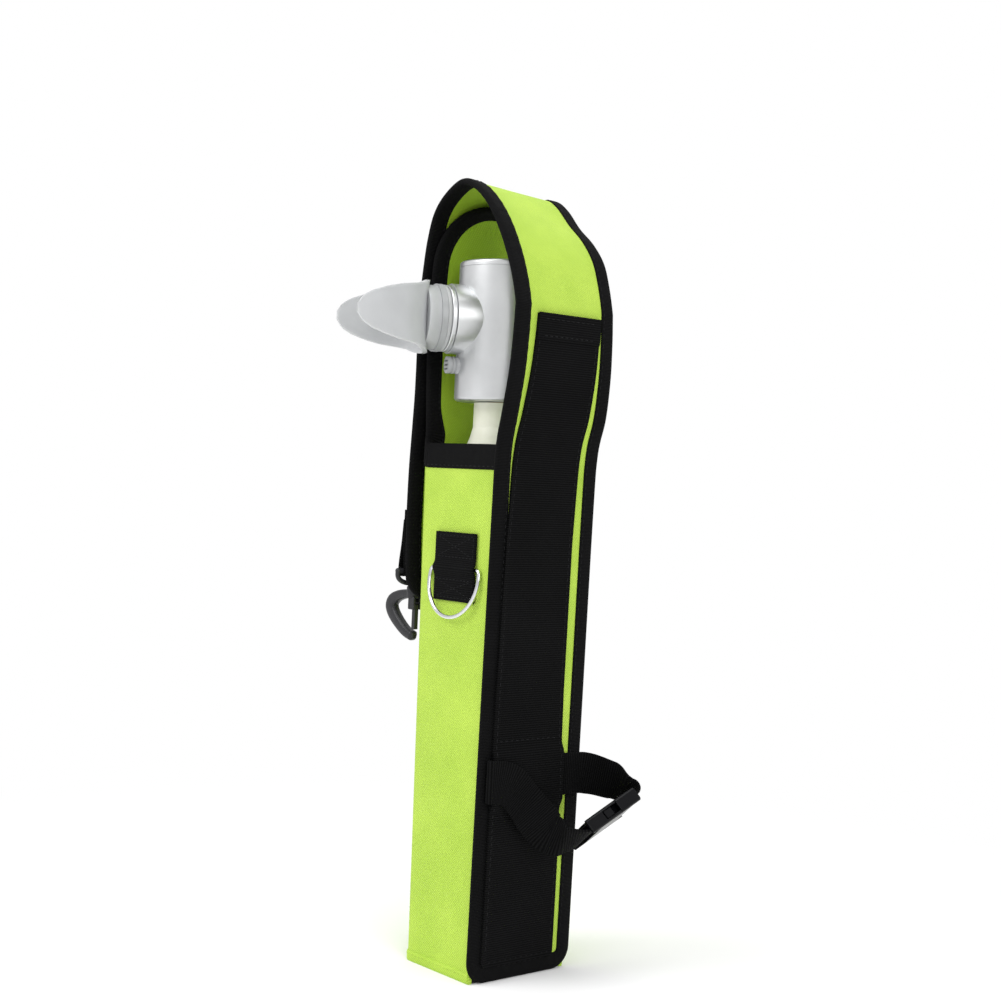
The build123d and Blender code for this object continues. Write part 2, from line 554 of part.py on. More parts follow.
def make_housing():
    shell = tube(AXIS, HEAD_R, HEAD_BORE, HEAD_Z, CAP_Z - 0.15) + rod(AXIS, HEAD_R - 1, HEAD_Z, HEAD_Z + 3)
    rim = shell.edges().filter_by(GeomType.CIRCLE).group_by(Axis.Z)[0]
    shell = fillet(rim.sort_by(SortBy.LENGTH)[-1:], 2.0)
    shell += tube(AXIS, HEAD_BORE + 0.5, 24.5, 402.6, 404.5)
    shell -= rod(AXIS, 10.05, HEAD_Z - 5, HEAD_Z + 9)
    shell -= rod(outward(MOUTH_AZ, PORT_Z), PORT_R + RUN, 15, 60)
    for azimuth in (GAUGE_AZ, FILL_AZ, BURST_AZ):
        shell -= rod(outward(azimuth, SIDE_PORT_Z), 5.05, 15, 60)
    shell -= rod(outward(MOUTH_AZ, EXHAUST_Z), 4.05, 15, 60)
    nodes["regulator_housing"] = shell


BUTTON_R = 10.0
PLATE_Z = 403.6          # underside of the diaphragm's centre plate
PLATE_R = 12.0
LEVER_Z = 395.9          # pivot of the demand lever
LEVER_X = 3.0
EXHAUST_Z = 354.5


def make_cap():
    cap = rod(AXIS, HEAD_R, CAP_Z, HEAD_TOP)
    top = cap.edges().group_by(Axis.Z)[-1]
    cap = fillet(top, 1.6)
    cap += tube(AXIS, HEAD_BORE - 0.1, 24.5, 405.3, CAP_Z + 0.5)
    cap += tube(AXIS, 25, 12.8, 405.8, 406.6)
    cap -= rod(AXIS, BUTTON_R + 0.2, CAP_Z - 1, HEAD_TOP + 1)
    nodes["top_cap"] = cap
    nodes["diaphragm"] = tube(AXIS, 26.6, PLATE_R + 0.3, 404.55, 405.15)
    button = rod(AXIS, BUTTON_R, 412, HEAD_TOP - 0.3) + rod(AXIS, 15, 410.9, 412.3)
    button += rod(AXIS, 3, 405.0, 411)
    nodes["purge_button"] = fillet(button.edges().group_by(Axis.Z)[-1], 0.8)
    nodes["diaphragm_plate"] = rod(AXIS, PLATE_R, PLATE_Z, 405.0)
    nodes["purge_spring"] = spring(AXIS, 13.9, 0.4, 406.65, 410.85, 3)


def make_demand_valve():
    core = rod(AXIS, 8.95, 303, HEAD_Z) + rod(AXIS, 10.0, HEAD_Z - 0.5, 361) + rod(AXIS, 14, 337.05, 340)
    core -= rod(AXIS, 2.5, 300, 346)
    core -= rod(AXIS, 7.0, 345, 370)
    for azimuth in (GAUGE_AZ, FILL_AZ, BURST_AZ):
        core -= rod(outward(azimuth, SIDE_PORT_Z - 9), 1.5, 3, 20)
    nodes["valve_core"] = core
    seat = rod(AXIS, 6.95, 357, 361.1) + hex_bar(AXIS, 18, 361.05, 366) + rod(AXIS, 5.5, 365, 394.4)
    for s in (-1, 1):
        seat += block((1.4, 4.6), sorted((CYL_Y + s * 2.4, CYL_Y + s * 3.6)), (393, LEVER_Z + 2))
    seat -= rod(AXIS, 1.6, 350, 372)
    seat -= rod(AXIS, 3.0, 372, 392.8)
    seat -= rod(AXIS, 1.0, 390, 400)
    pin = Plane(origin=(LEVER_X, CYL_Y, LEVER_Z), x_dir=(1, 0, 0), z_dir=(0, 1, 0))
    nodes["demand_seat"] = seat - rod(pin, 0.62, -8, 8)
    nodes["lever_pin"] = rod(pin, 0.6, -3.5, 3.5)
    lever = block((-1.8, LEVER_X), (CYL_Y - 2.2, CYL_Y + 2.2), (LEVER_Z - 0.7, LEVER_Z + 0.7))
    lever += rod(pin, 1.3, -2.2, 2.2)
    arm = make_face(Polyline((LEVER_X, LEVER_Z - 0.6), (10.2, 400.2), (10.4, 402.0), (12.0, 402.2),
                             (12.0, 403.3), (10.5, 403.3), (9.2, 401.6), (LEVER_X, LEVER_Z + 0.9), close=True))
    lever += Pos(0, CYL_Y, 0) * extrude(Plane.XZ * arm, 2.2, both=True)
    lever -= block((-3, 1.2), (CYL_Y - 1.0, CYL_Y + 1.0), (390, 400))
    nodes["demand_lever"] = lever - rod(pin, 0.65, -5, 5)
    poppet = rod(AXIS, 2.95, 373.5, 384) + rod(AXIS, 0.8, 383, 397) + rod(AXIS, 1.7, LEVER_Z + 0.9, LEVER_Z + 1.9)
    nodes["poppet"] = poppet
    nodes["poppet_spring"] = spring(AXIS, 2.2, 0.3, 384.1, 392.7, 6)
    piston = rod(AXIS, 6.95, 350.6, 354.6) + rod(AXIS, 2.6, 346.6, 351)
    groove = tube(AXIS, 8, 5.9, 351.7, 353.5)
    nodes["piston"] = piston - groove - rod(AXIS, 1.0, 340, 360)
    nodes["piston_o_ring"] = tube(AXIS, 6.93, 6.0, 351.9, 353.3)
    nodes["piston_spring"] = spring(AXIS, 4.8, 0.6, 345.05, 350.5, 3)


# ---------------------------------------------------------------- mouthpiece
def in_port(solid):
    """Moves a solid drawn with X out of the port, Y across it and Z up."""
    a = radians(MOUTH_AZ)
    return Plane(origin=(0, CYL_Y, PORT_Z), x_dir=(sin(a), -cos(a), 0), z_dir=(0, 0, 1)).location * solid


def make_mouthpiece():
    port = outward(MOUTH_AZ, PORT_Z)
    collar = rod(port, 20.5, 12, 36) - rod(AXIS, HEAD_R + 0.03, 300, 450)
    pipe = rod(port, PORT_R, 24.5, 46)
    nodes["mouthpiece_port"] = collar + pipe - rod(port, 13.5, 10, 60)
    ring = tube(port, 19.6, PORT_R + 0.06, 36.2, 39.0)
    nodes["port_ring"] = fillet(ring.edges().filter_by(GeomType.CIRCLE).sort_by(SortBy.LENGTH)[-2:], 0.7)
    # lip shield: a horseshoe in plan, cut to a bullet from the side
    outer = Spline((97.5, -27), (77, -26), (58, -18.5), (49, 0), (58, 18.5), (77, 26), (97.5, 27))
    inner = Spline((97.5, -24.6), (78, -23.5), (60.6, -16.4), (51.8, 0), (60.6, 16.4), (78, 23.5), (97.5, 24.6))
    plan = make_face([outer, inner, Line(outer @ 0, inner @ 0), Line(outer @ 1, inner @ 1)])
    shield = extrude(plan, 22, both=True)
    side = Spline((47, -21.2), (62, -20.4), (80, -15.8), (92, -9.4), (97.5, 0), (92, 9.4), (80, 15.8),
                  (62, 20.4), (47, 21.2))
    bullet = extrude(Plane.XZ * make_face([side, Line(side @ 0, side @ 1)]), 40, both=True)
    shield &= bullet
    body = rod(Plane.YZ, 18.9, 39.3, 54) & block((39, 60), (-30, 30), (-30, 30))
    body -= extrude(make_face([inner, Line(inner @ 0, inner @ 1)]), 30, both=True)
    shield += body
    for s in (-1, 1):
        shield += block((59, 80), sorted((s * 13.6, s * 16.8)), (-7, 7)) - extrude(plan, 30, both=True)
        shield += block((74, 80), sorted((s * 11.6, s * 18.6)), (-7, 7))
    shield -= rod(Plane.YZ, PORT_R + RUN, 30, 46.4)
    airway = extrude(Plane.YZ * RectangleRounded(25, 13, 6), 70)
    nodes["mouthpiece"] = in_port(shield - airway)
    nodes["mouthpiece_clamp"] = tube(port, 19.8, 18.92, 42.0, 45.3)
    drain = outward(MOUTH_AZ, EXHAUST_Z)
    cover = rod(drain, 5.0, 27, 36.5) - rod(AXIS, HEAD_R + 0.03, 300, 450)
    cover += rod(drain, 4.0, 25.5, 34)
    cover -= rod(drain, 3.0, 20, 35.3)
    for height in (-2.4, 0, 2.4):
        cover -= drain.offset(35.9).location * (Pos(height, 0, 0) * Box(1.0, 6.4, 3))
    for start in (31.4, 33.4):
        cover -= tube(drain, 7, 4.5, start, start + 0.9)
    nodes["exhaust_cover"] = cover
    nodes["exhaust_valve"] = rod(drain, 2.7, 32.2, 33.0)


# ---------------------------------------------------------------- gauge, fill valve and burst plug
def make_gauge():
    plane = outward(GAUGE_AZ, SIDE_PORT_Z)
    case = rod(plane, 14, 30.2, 38.6) - rod(plane, 12.6, 32.4, 50)
    case += rod(plane, 5.0, 26, 31)
    nodes["gauge_case"] = case - rod(plane, 1.2, 20, 50)
    dial = rod(plane, 12.5, 34.6, 35.2)
    nodes["gauge_dial"] = dial - rod(plane, 0.9, 30, 40)
    needle = rod(plane, 0.8, 34.0, 36.4) + rod(plane, 1.6, 35.6, 36.2)
    blade = make_face(Polyline((-3.4, -0.7), (-3.4, 0.7), (9.6, 0.2), (9.6, -0.2), close=True))
    spin = plane.offset(35.6).location * Rot(0, 0, 135)
    nodes["gauge_needle"] = needle + spin * extrude(blade, 0.5)
    nodes["gauge_lens"] = rod(plane, 12.5, 37.2, 38.4)
    bezel = tube(plane, 14.8, 14.03, 36.4, 38.7) + tube(plane, 14.8, 11.6, 38.65, 39.8)
    nodes["gauge_bezel"] = bezel


def make_fill():
    plane = outward(FILL_AZ, SIDE_PORT_Z)
    body = rod(plane, 5.0, 26, 40) + hex_bar(plane, 15, 29.8, 33)
    body -= rod(plane, 2.5, 27.5, 37.5)
    body -= rod(plane, 1.3, 20, 50)
    nodes["fill_body"] = body
    nodes["fill_poppet"] = rod(plane, 2.4, 35.4, 37.2) + rod(plane, 1.0, 33, 36)
    nodes["fill_spring"] = spring(plane, 1.85, 0.25, 28.0, 34.2, 5)
    cap = rod(plane, 6.8, 33.3, 42.2) - rod(plane, 5.0 + RUN, 30, 40.3)
    for i in range(12):
        groove = Rot(0, 0, 30 * i) * (Pos(6.9, 0, 38) * Cylinder(0.5, 14))
        cap -= plane.location * groove
    nodes["fill_cap"] = cap
    plane = outward(BURST_AZ, SIDE_PORT_Z)
    plug = rod(plane, 5.0, 26, 31) + hex_bar(plane, 12, 29.8, 32.6)
    nodes["burst_plug"] = plug - rod(plane, 1.3, 24, 40)


def main():
    os.makedirs("parts", exist_ok=True)
    makers = (make_pocket, make_back, make_flap, make_rings, make_hook, make_leg_strap, make_buckle,
              make_tank, make_housing, make_cap, make_demand_valve, make_mouthpiece, make_gauge, make_fill)
    for make in makers:
        make()
    for name, shape in nodes.items():
        export_step(shape, f"parts/{name}.step")


main()
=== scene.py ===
import math
import bpy
import numpy as np
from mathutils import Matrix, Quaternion, Vector


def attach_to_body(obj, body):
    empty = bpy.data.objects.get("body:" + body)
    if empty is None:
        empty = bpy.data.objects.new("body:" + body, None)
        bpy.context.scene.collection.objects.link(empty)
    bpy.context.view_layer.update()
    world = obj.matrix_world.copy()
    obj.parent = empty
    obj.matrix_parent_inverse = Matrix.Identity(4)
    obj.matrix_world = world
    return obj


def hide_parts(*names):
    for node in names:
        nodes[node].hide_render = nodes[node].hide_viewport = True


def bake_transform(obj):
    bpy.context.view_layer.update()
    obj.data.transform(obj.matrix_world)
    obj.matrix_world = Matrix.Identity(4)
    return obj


# A portable oxygen cylinder in its fabric carrier. Shapes below are in millimetres, in the row
# frame, and turn into metres when a mesh is made.
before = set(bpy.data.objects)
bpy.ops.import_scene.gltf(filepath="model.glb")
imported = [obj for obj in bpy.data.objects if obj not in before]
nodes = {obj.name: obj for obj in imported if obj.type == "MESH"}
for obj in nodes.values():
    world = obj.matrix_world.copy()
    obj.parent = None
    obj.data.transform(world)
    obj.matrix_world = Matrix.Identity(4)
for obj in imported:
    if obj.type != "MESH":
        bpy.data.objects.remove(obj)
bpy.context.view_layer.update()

MM = 1000.0              # millimetres in a metre
# layers
FABRIC = 2.5             # padded fabric
TAPE = 0.75              # edge tape
TAPE_REACH = 9.5         # how far the tape lies over the cloth
WEB = 1.5                # webbing
SEAM_RISE = 0.12         # height of a stitch's line above what it is sewn into
# the carrier
HALF = 38.0              # half width of the long strip
BACK_CORNER = 12.0       # radius of the strip's corners at the foot of the back
TAIL_CORNER = 14.0       # and at the end of the tail
SEAM_Y = HALF - 8.0      # the stitching lies 1.5 mm inside the tape's inner border
POCKET_HALF = 36.0       # half width of the pocket
MOUTH_Z = 308.0          # height of the pocket's mouth
MOUTH_TURN = 7.0         # radius of the tape's turn from the mouth up the tongue
TONGUE_HALF = 34.6       # half width of the tongue
DOME = 44.0              # height of the tongue's rounded top
STRAP_Z = 117.0          # height of the leg strap
TUNNEL = 2.6             # room for the leg strap under the webbing
WEB_LOW = 8.6            # where the webbing's lower end lies on the edge tape
WEB_TUCK = 3.5           # radius of its lower corners
# the cylinder
CYL_Y = -5.0             # y of its axis
PORT_Z = 381.5           # height of the mouthpiece's port
PORT_TURN = -22.0        # bearings in degrees round the axis, from the side that faces -y
GAUGE_Z = 352.0
GAUGE_TURN = 80.0
# light and camera, in metres, watts and radians
WORLD_LIGHT = 0.72       # of the white world, which shows as 1 behind the object
LAMPS = (("key", (-0.5, -1.5, 1.3), 0.9, 11.0), ("fill", (1.6, -0.6, 0.9), 1.0, 7.0),
         ("top", (0.1, -0.1, 1.9), 1.2, 12.0))
CAMERA_AT = dict(azimuth=math.radians(49.73), distance=0.9917, height=0.2892)
CAMERA_AIM = dict(yaw=0.003, pitch=0.013, roll=0.046)
CAMERA_LENS = 59.9


# -------------------- node materials
class Shader:
    """A material under construction. add() makes a node and links or sets its inputs, by name or as
    i0, i1 by number; a name that starts with _ is one of the node's settings."""

    def __init__(self, name):
        self.material = bpy.data.materials.new(name)
        self.material.use_nodes = True
        self.tree = self.material.node_tree
        self.tree.nodes.clear()
        self.place = self.add("ShaderNodeNewGeometry")

    def add(self, kind, out=0, **inputs):
        node = self.tree.nodes.new(kind)
        for key, value in inputs.items():
            if key.startswith("_"):
                setattr(node, key[1:], value)
                continue
            numbered = key[0] == "i" and key[1:].isdigit()
            socket = node.inputs[int(key[1:]) if numbered else key.replace("_", " ")]
            if isinstance(value, bpy.types.NodeSocket):
                self.tree.links.new(value, socket)
            else:
                socket.default_value = value
        return node.outputs[out] if node.outputs else None

    def math(self, operation, a, b=0.0):
        return self.add("ShaderNodeMath", _operation=operation, i0=a, i1=b)

    def plus(self, a, b):
        return self.math("ADD", a, b)

    def times(self, a, b):
        return self.math("MULTIPLY", a, b)

    def noise(self, scale, detail=3.0, rough=0.55, at=None):
        return self.add("ShaderNodeTexNoise", Vector=at or self.place, Scale=scale, Detail=detail,
                        Roughness=rough)

    def ramp(self, value, stops):
        node = self.tree.nodes.new("ShaderNodeValToRGB")
        self.tree.links.new(value, node.inputs[0])
        while len(node.color_ramp.elements) < len(stops):
            node.color_ramp.elements.new(0.5)
        for element, (at, colour) in zip(node.color_ramp.elements, stops):
            element.position = at
            element.color = (*colour, 1.0)
        return node.outputs[0]

    def bump(self, height, strength, distance, **under):
        return self.add("ShaderNodeBump", Strength=strength, Distance=distance, Height=height, **under)

    def finish(self, **inputs):
        surface = self.add("ShaderNodeBsdfPrincipled", **inputs)
        self.add("ShaderNodeOutputMaterial", Surface=surface)
        return self.material


def rgb(*channels):
    """Linear colour from an sRGB colour given in 0 to 255."""
    shares = [c / 255.0 for c in channels]
    return tuple(c / 12.92 if c <= 0.04045 else ((c + 0.055) / 1.055) ** 2.4 for c in shares)


def cloth_axes(s):
    """The piece's own cloth coordinates, in metres: x across the piece and y along it."""
    parts = s.tree.nodes.new("ShaderNodeSeparateXYZ")
    s.tree.links.new(s.add("ShaderNodeUVMap", _uv_map="cloth"), parts.inputs[0])
    return parts.outputs[0], parts.outputs[1]


def ridges(s, coordinate, pitch):
    """Sine ridges of a pitch in metres along a coordinate."""
    return s.math("SINE", s.times(coordinate, 2 * math.pi / pitch))


def scaled(colour, share):
    return tuple(min(1.0, c * share) for c in colour)


def lime_fabric(name, bright, dark):
    """Coated twill: fine diagonal cords, soft blotches and a little sheen."""
    s = Shader(name)
    x, y = cloth_axes(s)
    wobble = s.times(s.noise(300.0, 2.0), 0.0004)
    cords = ridges(s, s.plus(s.plus(x, s.times(y, 0.9)), wobble), 0.0015)
    yarn = ridges(s, s.math("SUBTRACT", x, y), 0.0009)
    weave = s.plus(s.times(cords, 0.7), s.times(yarn, 0.3))
    blotch = s.noise(22.0, 4.0)
    tone = s.plus(s.times(blotch, 0.6), s.times(weave, 0.20))
    colour = s.ramp(tone, [(0.10, dark), (0.50, bright)])
    creases = s.bump(s.noise(38.0, 3.0, 0.5), 0.35, 0.0012)
    normal = s.bump(weave, 0.7, 0.00022, Normal=creases)
    rough = s.plus(0.52, s.times(blotch, 0.18))
    return s.finish(Base_Color=colour, Roughness=rough, Normal=normal, Sheen_Weight=0.08,
                    Sheen_Roughness=0.4, Specular_IOR_Level=0.2)


def woven_black(name, shade, rib_pitch, cross_pitch, rough, lift=1.0):
    """Black webbing or tape: ribs across, yarns along, with the weave's crowns painted lighter as painted
    highlight and random patches worn a little lighter.
    """
    s = Shader(name)
    x, y = cloth_axes(s)
    ribs = ridges(s, y, rib_pitch)
    yarns = s.math("ABSOLUTE", ridges(s, x, cross_pitch))
    weave = s.plus(s.times(ribs, 0.6), s.times(yarns, 0.4))
    fuzz = s.noise(900.0, 2.0)
    wear = s.noise(28.0, 4.0)
    worn = s.plus(s.times(wear, 0.35), s.times(fuzz, 0.2))
    # the weave's crowns lighten the colour as painted highlight; worn adds random wear
    tone = s.plus(s.times(weave, 0.42), worn)
    tint = (shade, shade, 1.06 * shade)
    colour = s.ramp(tone, [(0.15, scaled(tint, 0.3)), (0.85, scaled(tint, 3.2))])
    normal = s.bump(weave, 0.6 * lift, 0.00022, Normal=s.bump(wear, 0.25, 0.0008))
    return s.finish(Base_Color=colour, Roughness=rough, Normal=normal, Sheen_Weight=0.01,
                    Specular_IOR_Level=0.06)


def moulded(name, colour, rough, grain=900.0, grain_depth=0.00004, coat=0.0, specular=0.5):
    """Moulded plastic or rubber: fine grain, faint flow marks and rubbed patches."""
    s = Shader(name)
    grains = s.noise(grain, 2.0)
    flow = s.noise(45.0, 4.0)
    shade = s.ramp(flow, [(0.3, scaled(colour, 0.82)), (0.7, scaled(colour, 1.12))])
    uneven = s.plus(rough - 0.08, s.times(flow, 0.18))
    normal = s.bump(grains, 0.5, grain_depth, Normal=s.bump(flow, 0.15, 0.0006))
    return s.finish(Base_Color=shade, Roughness=uneven, Normal=normal, Coat_Weight=coat,
                    Specular_IOR_Level=specular)


def metal(name, colour, rough, brushed=0.0, metallic=1.0):
    """Turned or plated metal: fine circular brushing about Z and dulled smudges."""
    s = Shader(name)
    stretch = s.add("ShaderNodeMapping", Vector=s.place, Scale=(40.0, 40.0, 2600.0))
    lines = s.noise(1.0, 2.0, at=stretch)
    smudge = s.noise(60.0, 5.0)
    marks = s.plus(s.times(smudge, 0.12), s.times(lines, 0.10 * brushed))
    uneven = s.plus(rough, marks)
    shade = s.ramp(smudge, [(0.25, scaled(colour, 0.9)), (0.75, colour)])
    normal = s.bump(lines, 0.25 * brushed, 0.00003) if brushed else s.bump(smudge, 0.04, 0.0004)
    return s.finish(Base_Color=shade, Roughness=uneven, Metallic=metallic, Normal=normal)


def silicone(name, colour):
    """Translucent silicone rubber: light passes a little way in, and the skin is softly glossy."""
    s = Shader(name)
    cloud = s.noise(40.0, 4.0)
    shade = s.ramp(cloud, [(0.3, scaled(colour, 0.9)), (0.7, colour)])
    rough = s.plus(0.26, s.times(cloud, 0.16))
    normal = s.bump(s.noise(700.0, 2.0), 0.25, 0.00003, Normal=s.bump(cloud, 0.2, 0.0008))
    return s.finish(Base_Color=shade, Roughness=rough, Normal=normal, Subsurface_Weight=0.45,
                    Subsurface_Radius=(0.012, 0.012, 0.012), Subsurface_Scale=0.4, IOR=1.41,
                    Coat_Weight=0.15)


def glass(name):
    """Clear glass with a slightly uneven polish."""
    s = Shader(name)
    rough = s.times(s.noise(90.0, 4.0), 0.12)
    return s.finish(Base_Color=(0.96, 0.98, 1.0, 1.0), Roughness=rough, Transmission_Weight=1.0, IOR=1.45)


LIME = lime_fabric("lime_twill", rgb(205, 236, 95), rgb(170, 207, 68))
# darker, more saturated lime on the cloth's inner faces: painted shade of the carrier's inside
LIME_PAINTED_SHADE = lime_fabric("lime_inner_painted_shade", rgb(182, 218, 58), rgb(150, 188, 38))
TAPE_BLACK = woven_black("binding_tape", 0.0034, 0.00085, 0.0009, 0.72)
WEB_BLACK = woven_black("ribbed_webbing", 0.0030, 0.0013, 0.0017, 0.78, 1.4)
THREAD_LIME = moulded("lime_thread", rgb(176, 208, 70), 0.6, 1500.0)
THREAD_GREY = moulded("grey_thread", (0.008, 0.008, 0.009), 0.7, 1500.0, specular=0.2)
CHROME = metal("chrome_wire", (0.82, 0.83, 0.85), 0.08)
HEAD = metal("head_anodised", (0.72, 0.73, 0.74), 0.26, brushed=1.0, metallic=0.85)
CAP = metal("cap_anodised", (0.80, 0.81, 0.82), 0.22, brushed=0.8, metallic=0.85)
STEEL = metal("turned_steel", (0.56, 0.57, 0.58), 0.25, brushed=0.6)
BRASS = metal("turned_brass", (0.78, 0.58, 0.28), 0.24, brushed=0.6)
TANK = moulded("tank_paint", rgb(226, 232, 214), 0.3, 500.0, 0.00005, coat=0.4)
COLLAR = moulded("collar_plastic", rgb(252, 255, 228), 0.42)
HOOK_GREY = moulded("hook_acetal", (0.026, 0.026, 0.029), 0.36, 1200.0, specular=0.35)
BUCKLE_BLACK = moulded("buckle_acetal", (0.004, 0.004, 0.005), 0.24, 1200.0, specular=0.16)
RUBBER = moulded("seal_rubber", (0.02, 0.02, 0.02), 0.6)
BUTTON = moulded("button_plastic", (0.30, 0.32, 0.33), 0.4)
CLEAR_GREY = moulded("clamp_plastic", (0.42, 0.43, 0.44), 0.3)
SILICONE = silicone("mouthpiece_silicone", (0.56, 0.57, 0.58))
DIAL = moulded("dial_face", (0.86, 0.86, 0.83), 0.45, 2000.0)
INK = moulded("dial_ink", (0.02, 0.02, 0.02), 0.5)
RED = moulded("needle_red", (0.55, 0.03, 0.02), 0.4)
LENS = glass("gauge_lens_glass")
BOARD = moulded("base_board", (0.02, 0.02, 0.02), 0.7)


# -------------------- mesh helpers
def unit(v):
    v = np.asarray(v, float)
    return v / np.linalg.norm(v)


def circle(sides, power=1.0):
    """Cosines and sines round a circle; a power under 1 squares it off."""
    pairs = [(math.cos(math.tau * k / sides), math.sin(math.tau * k / sides)) for k in range(sides)]
    return [tuple(math.copysign(abs(c) ** power, c) for c in pair) for pair in pairs]


def spaced(a, b, step=3.0):
    return list(np.linspace(a, b, max(2, int(abs(b - a) / step) + 1)))


def smoothstep(a, b, x):
    t = min(1.0, max(0.0, (x - a) / (b - a)))
    return t * t * (3 - 2 * t)


def make_mesh(name, verts, faces, uvs, material, smooth=True):
    """Mesh object from points in mm. uvs is one (x, y) per vertex, in mm, or None."""
    mesh = bpy.data.meshes.new(name)
    mesh.from_pydata((np.asarray(verts, float) / MM).tolist(), [], faces)
    if uvs is not None:
        layer = mesh.uv_layers.new(name="cloth")
        index = np.zeros(len(mesh.loops), int)
        mesh.loops.foreach_get("vertex_index", index)
        layer.data.foreach_set("uv", (np.asarray(uvs, float)[index] / MM).ravel())
    mesh.polygons.foreach_set("use_smooth", [smooth] * len(mesh.polygons))
    mesh.materials.append(material)
    mesh.update()
    obj = bpy.data.objects.new(name, mesh)
    bpy.context.scene.collection.objects.link(obj)
    return obj


def sweep_faces(rows, columns, closed=True):
    """Quads of a grid of rows; closed joins the last column to the first."""
    faces = []
    for i in range(rows - 1):
        for j in range(columns if closed else columns - 1):
            k = (j + 1) % columns
            faces.append((i * columns + j, i * columns + k, (i + 1) * columns + k, (i + 1) * columns + j))
    return faces


def loft_faces(rows, columns):
    """Faces of a grid swept through rows of closed outlines, with its two ends."""
    ends = [tuple(reversed(range(columns))), tuple(range((rows - 1) * columns, rows * columns))]
    return sweep_faces(rows, columns) + ends


def double_faces(rows, columns):
    """Faces of two like grids of points, an outer and an inner one, and of the rim that joins them."""
    count = rows * columns
    faces = []
    for quad in sweep_faces(rows, columns, closed=False):
        faces += [quad, tuple(count + v for v in reversed(quad))]
    top = count - columns
    rim = [*range(columns), *range(2 * columns - 1, count, columns), *range(count - 2, top - 1, -1),
           *range(top - columns, 0, -columns)]
    return faces + [(b, a, count + a, count + b) for a, b in zip(rim, rim[1:] + rim[:1])]


def fair(obj):
    """Turns a closed mesh's faces outwards and keeps its corners crisp."""
    mesh = obj.data
    mesh.calc_loop_triangles()
    corners = np.array([t.vertices[:] for t in mesh.loop_triangles])
    points = np.array([v.co for v in mesh.vertices])
    a, b, c = (points[corners[:, k]] for k in range(3))
    if np.einsum("ij,ij->", a, np.cross(b, c)) < 0:
        mesh.flip_normals()
    mesh.set_sharp_from_angle(angle=math.radians(55))


def loft(name, rings, material, uvs=None):
    """Closed body through rings of points, all with as many points."""
    verts = [point for ring in rings for point in ring]
    obj = make_mesh(name, verts, loft_faces(len(rings), len(rings[0])), uvs, material)
    fair(obj)
    return obj


class Path:
    """Smooth curve through (x, z) points, read by its length from the first point."""

    STEPS = 24           # short straight lines between two of its points

    def __init__(self, points):
        p = np.array(points, float)
        ends = np.vstack([2 * p[0] - p[1], p, 2 * p[-1] - p[-2]])
        dense = []
        for i in range(len(p) - 1):
            a, b, c, d = ends[i:i + 4]
            for t in np.linspace(0, 1, self.STEPS, endpoint=False):
                dense.append(0.5 * (2 * b + (c - a) * t + (2 * a - 5 * b + 4 * c - d) * t**2
                                    + (3 * b - a - 3 * c + d) * t**3))
        dense.append(p[-1])
        self.p = np.array(dense)
        self.s = np.concatenate([[0], np.cumsum(np.linalg.norm(np.diff(self.p, axis=0), axis=1))])
        self.knots = [self.s[self.STEPS * i] for i in range(len(p))]
        self.length = self.s[-1]
        self.memo = {}

    def at(self, s):
        """Point at a length along the path; beyond its ends it runs on straight."""
        if s not in self.memo:
            self.memo[s] = self.find(s)
        return self.memo[s]

    def find(self, s):
        over = max(0.0, s - self.length) + min(0.0, s)
        q = np.array([np.interp(s, self.s, self.p[:, 0]), np.interp(s, self.s, self.p[:, 1])])
        if over:
            end = self.p[-1] - self.p[-2] if over > 0 else self.p[1] - self.p[0]
            q = q + unit(end) * over
        return q

    def heading(self, s):
        """Direction of the path at a length along it."""
        return unit(self.at(s + 0.1) - self.at(s - 0.1))


class Sheet:
    """A curved surface of cloth, addressed by (s along, y across), with its outward normal. Its kinds
    give point(s, y), and sign, which tells the outer side."""

    def frame(self, s, y):
        p = self.point(s, y)
        ds = unit(self.point(s + 0.2, y) - self.point(s - 0.2, y))
        dy = unit(self.point(s, y + 0.2) - self.point(s, y - 0.2))
        return p, unit(np.cross(dy, ds)) * self.sign


class Strip(Sheet):
    """The long strip: up the back, over the crown and down the front as the tail. Its two edges follow
    paths of their own, because the worn crown sags towards the flap side."""

    sign = 1

    def __init__(self, stations):
        self.path = Path([((a + c) / 2, (b + d) / 2) for a, b, c, d in stations])
        self.near = Path([(a, b) for a, b, c, d in stations])
        self.far = Path([(c, d) for a, b, c, d in stations])

    def point(self, s, y):
        run = s - self.path.length
        near_s = self.near.length + run if run > 0 else np.interp(s, self.path.knots, self.near.knots)
        far_s = self.far.length + run if run > 0 else np.interp(s, self.path.knots, self.far.knots)
        if s < 0:
            near_s = far_s = s
        a, b = self.near.at(float(near_s)), self.far.at(float(far_s))
        x, z = a + (b - a) * (y + HALF) / (2 * HALF)
        return np.array([x, y, z])


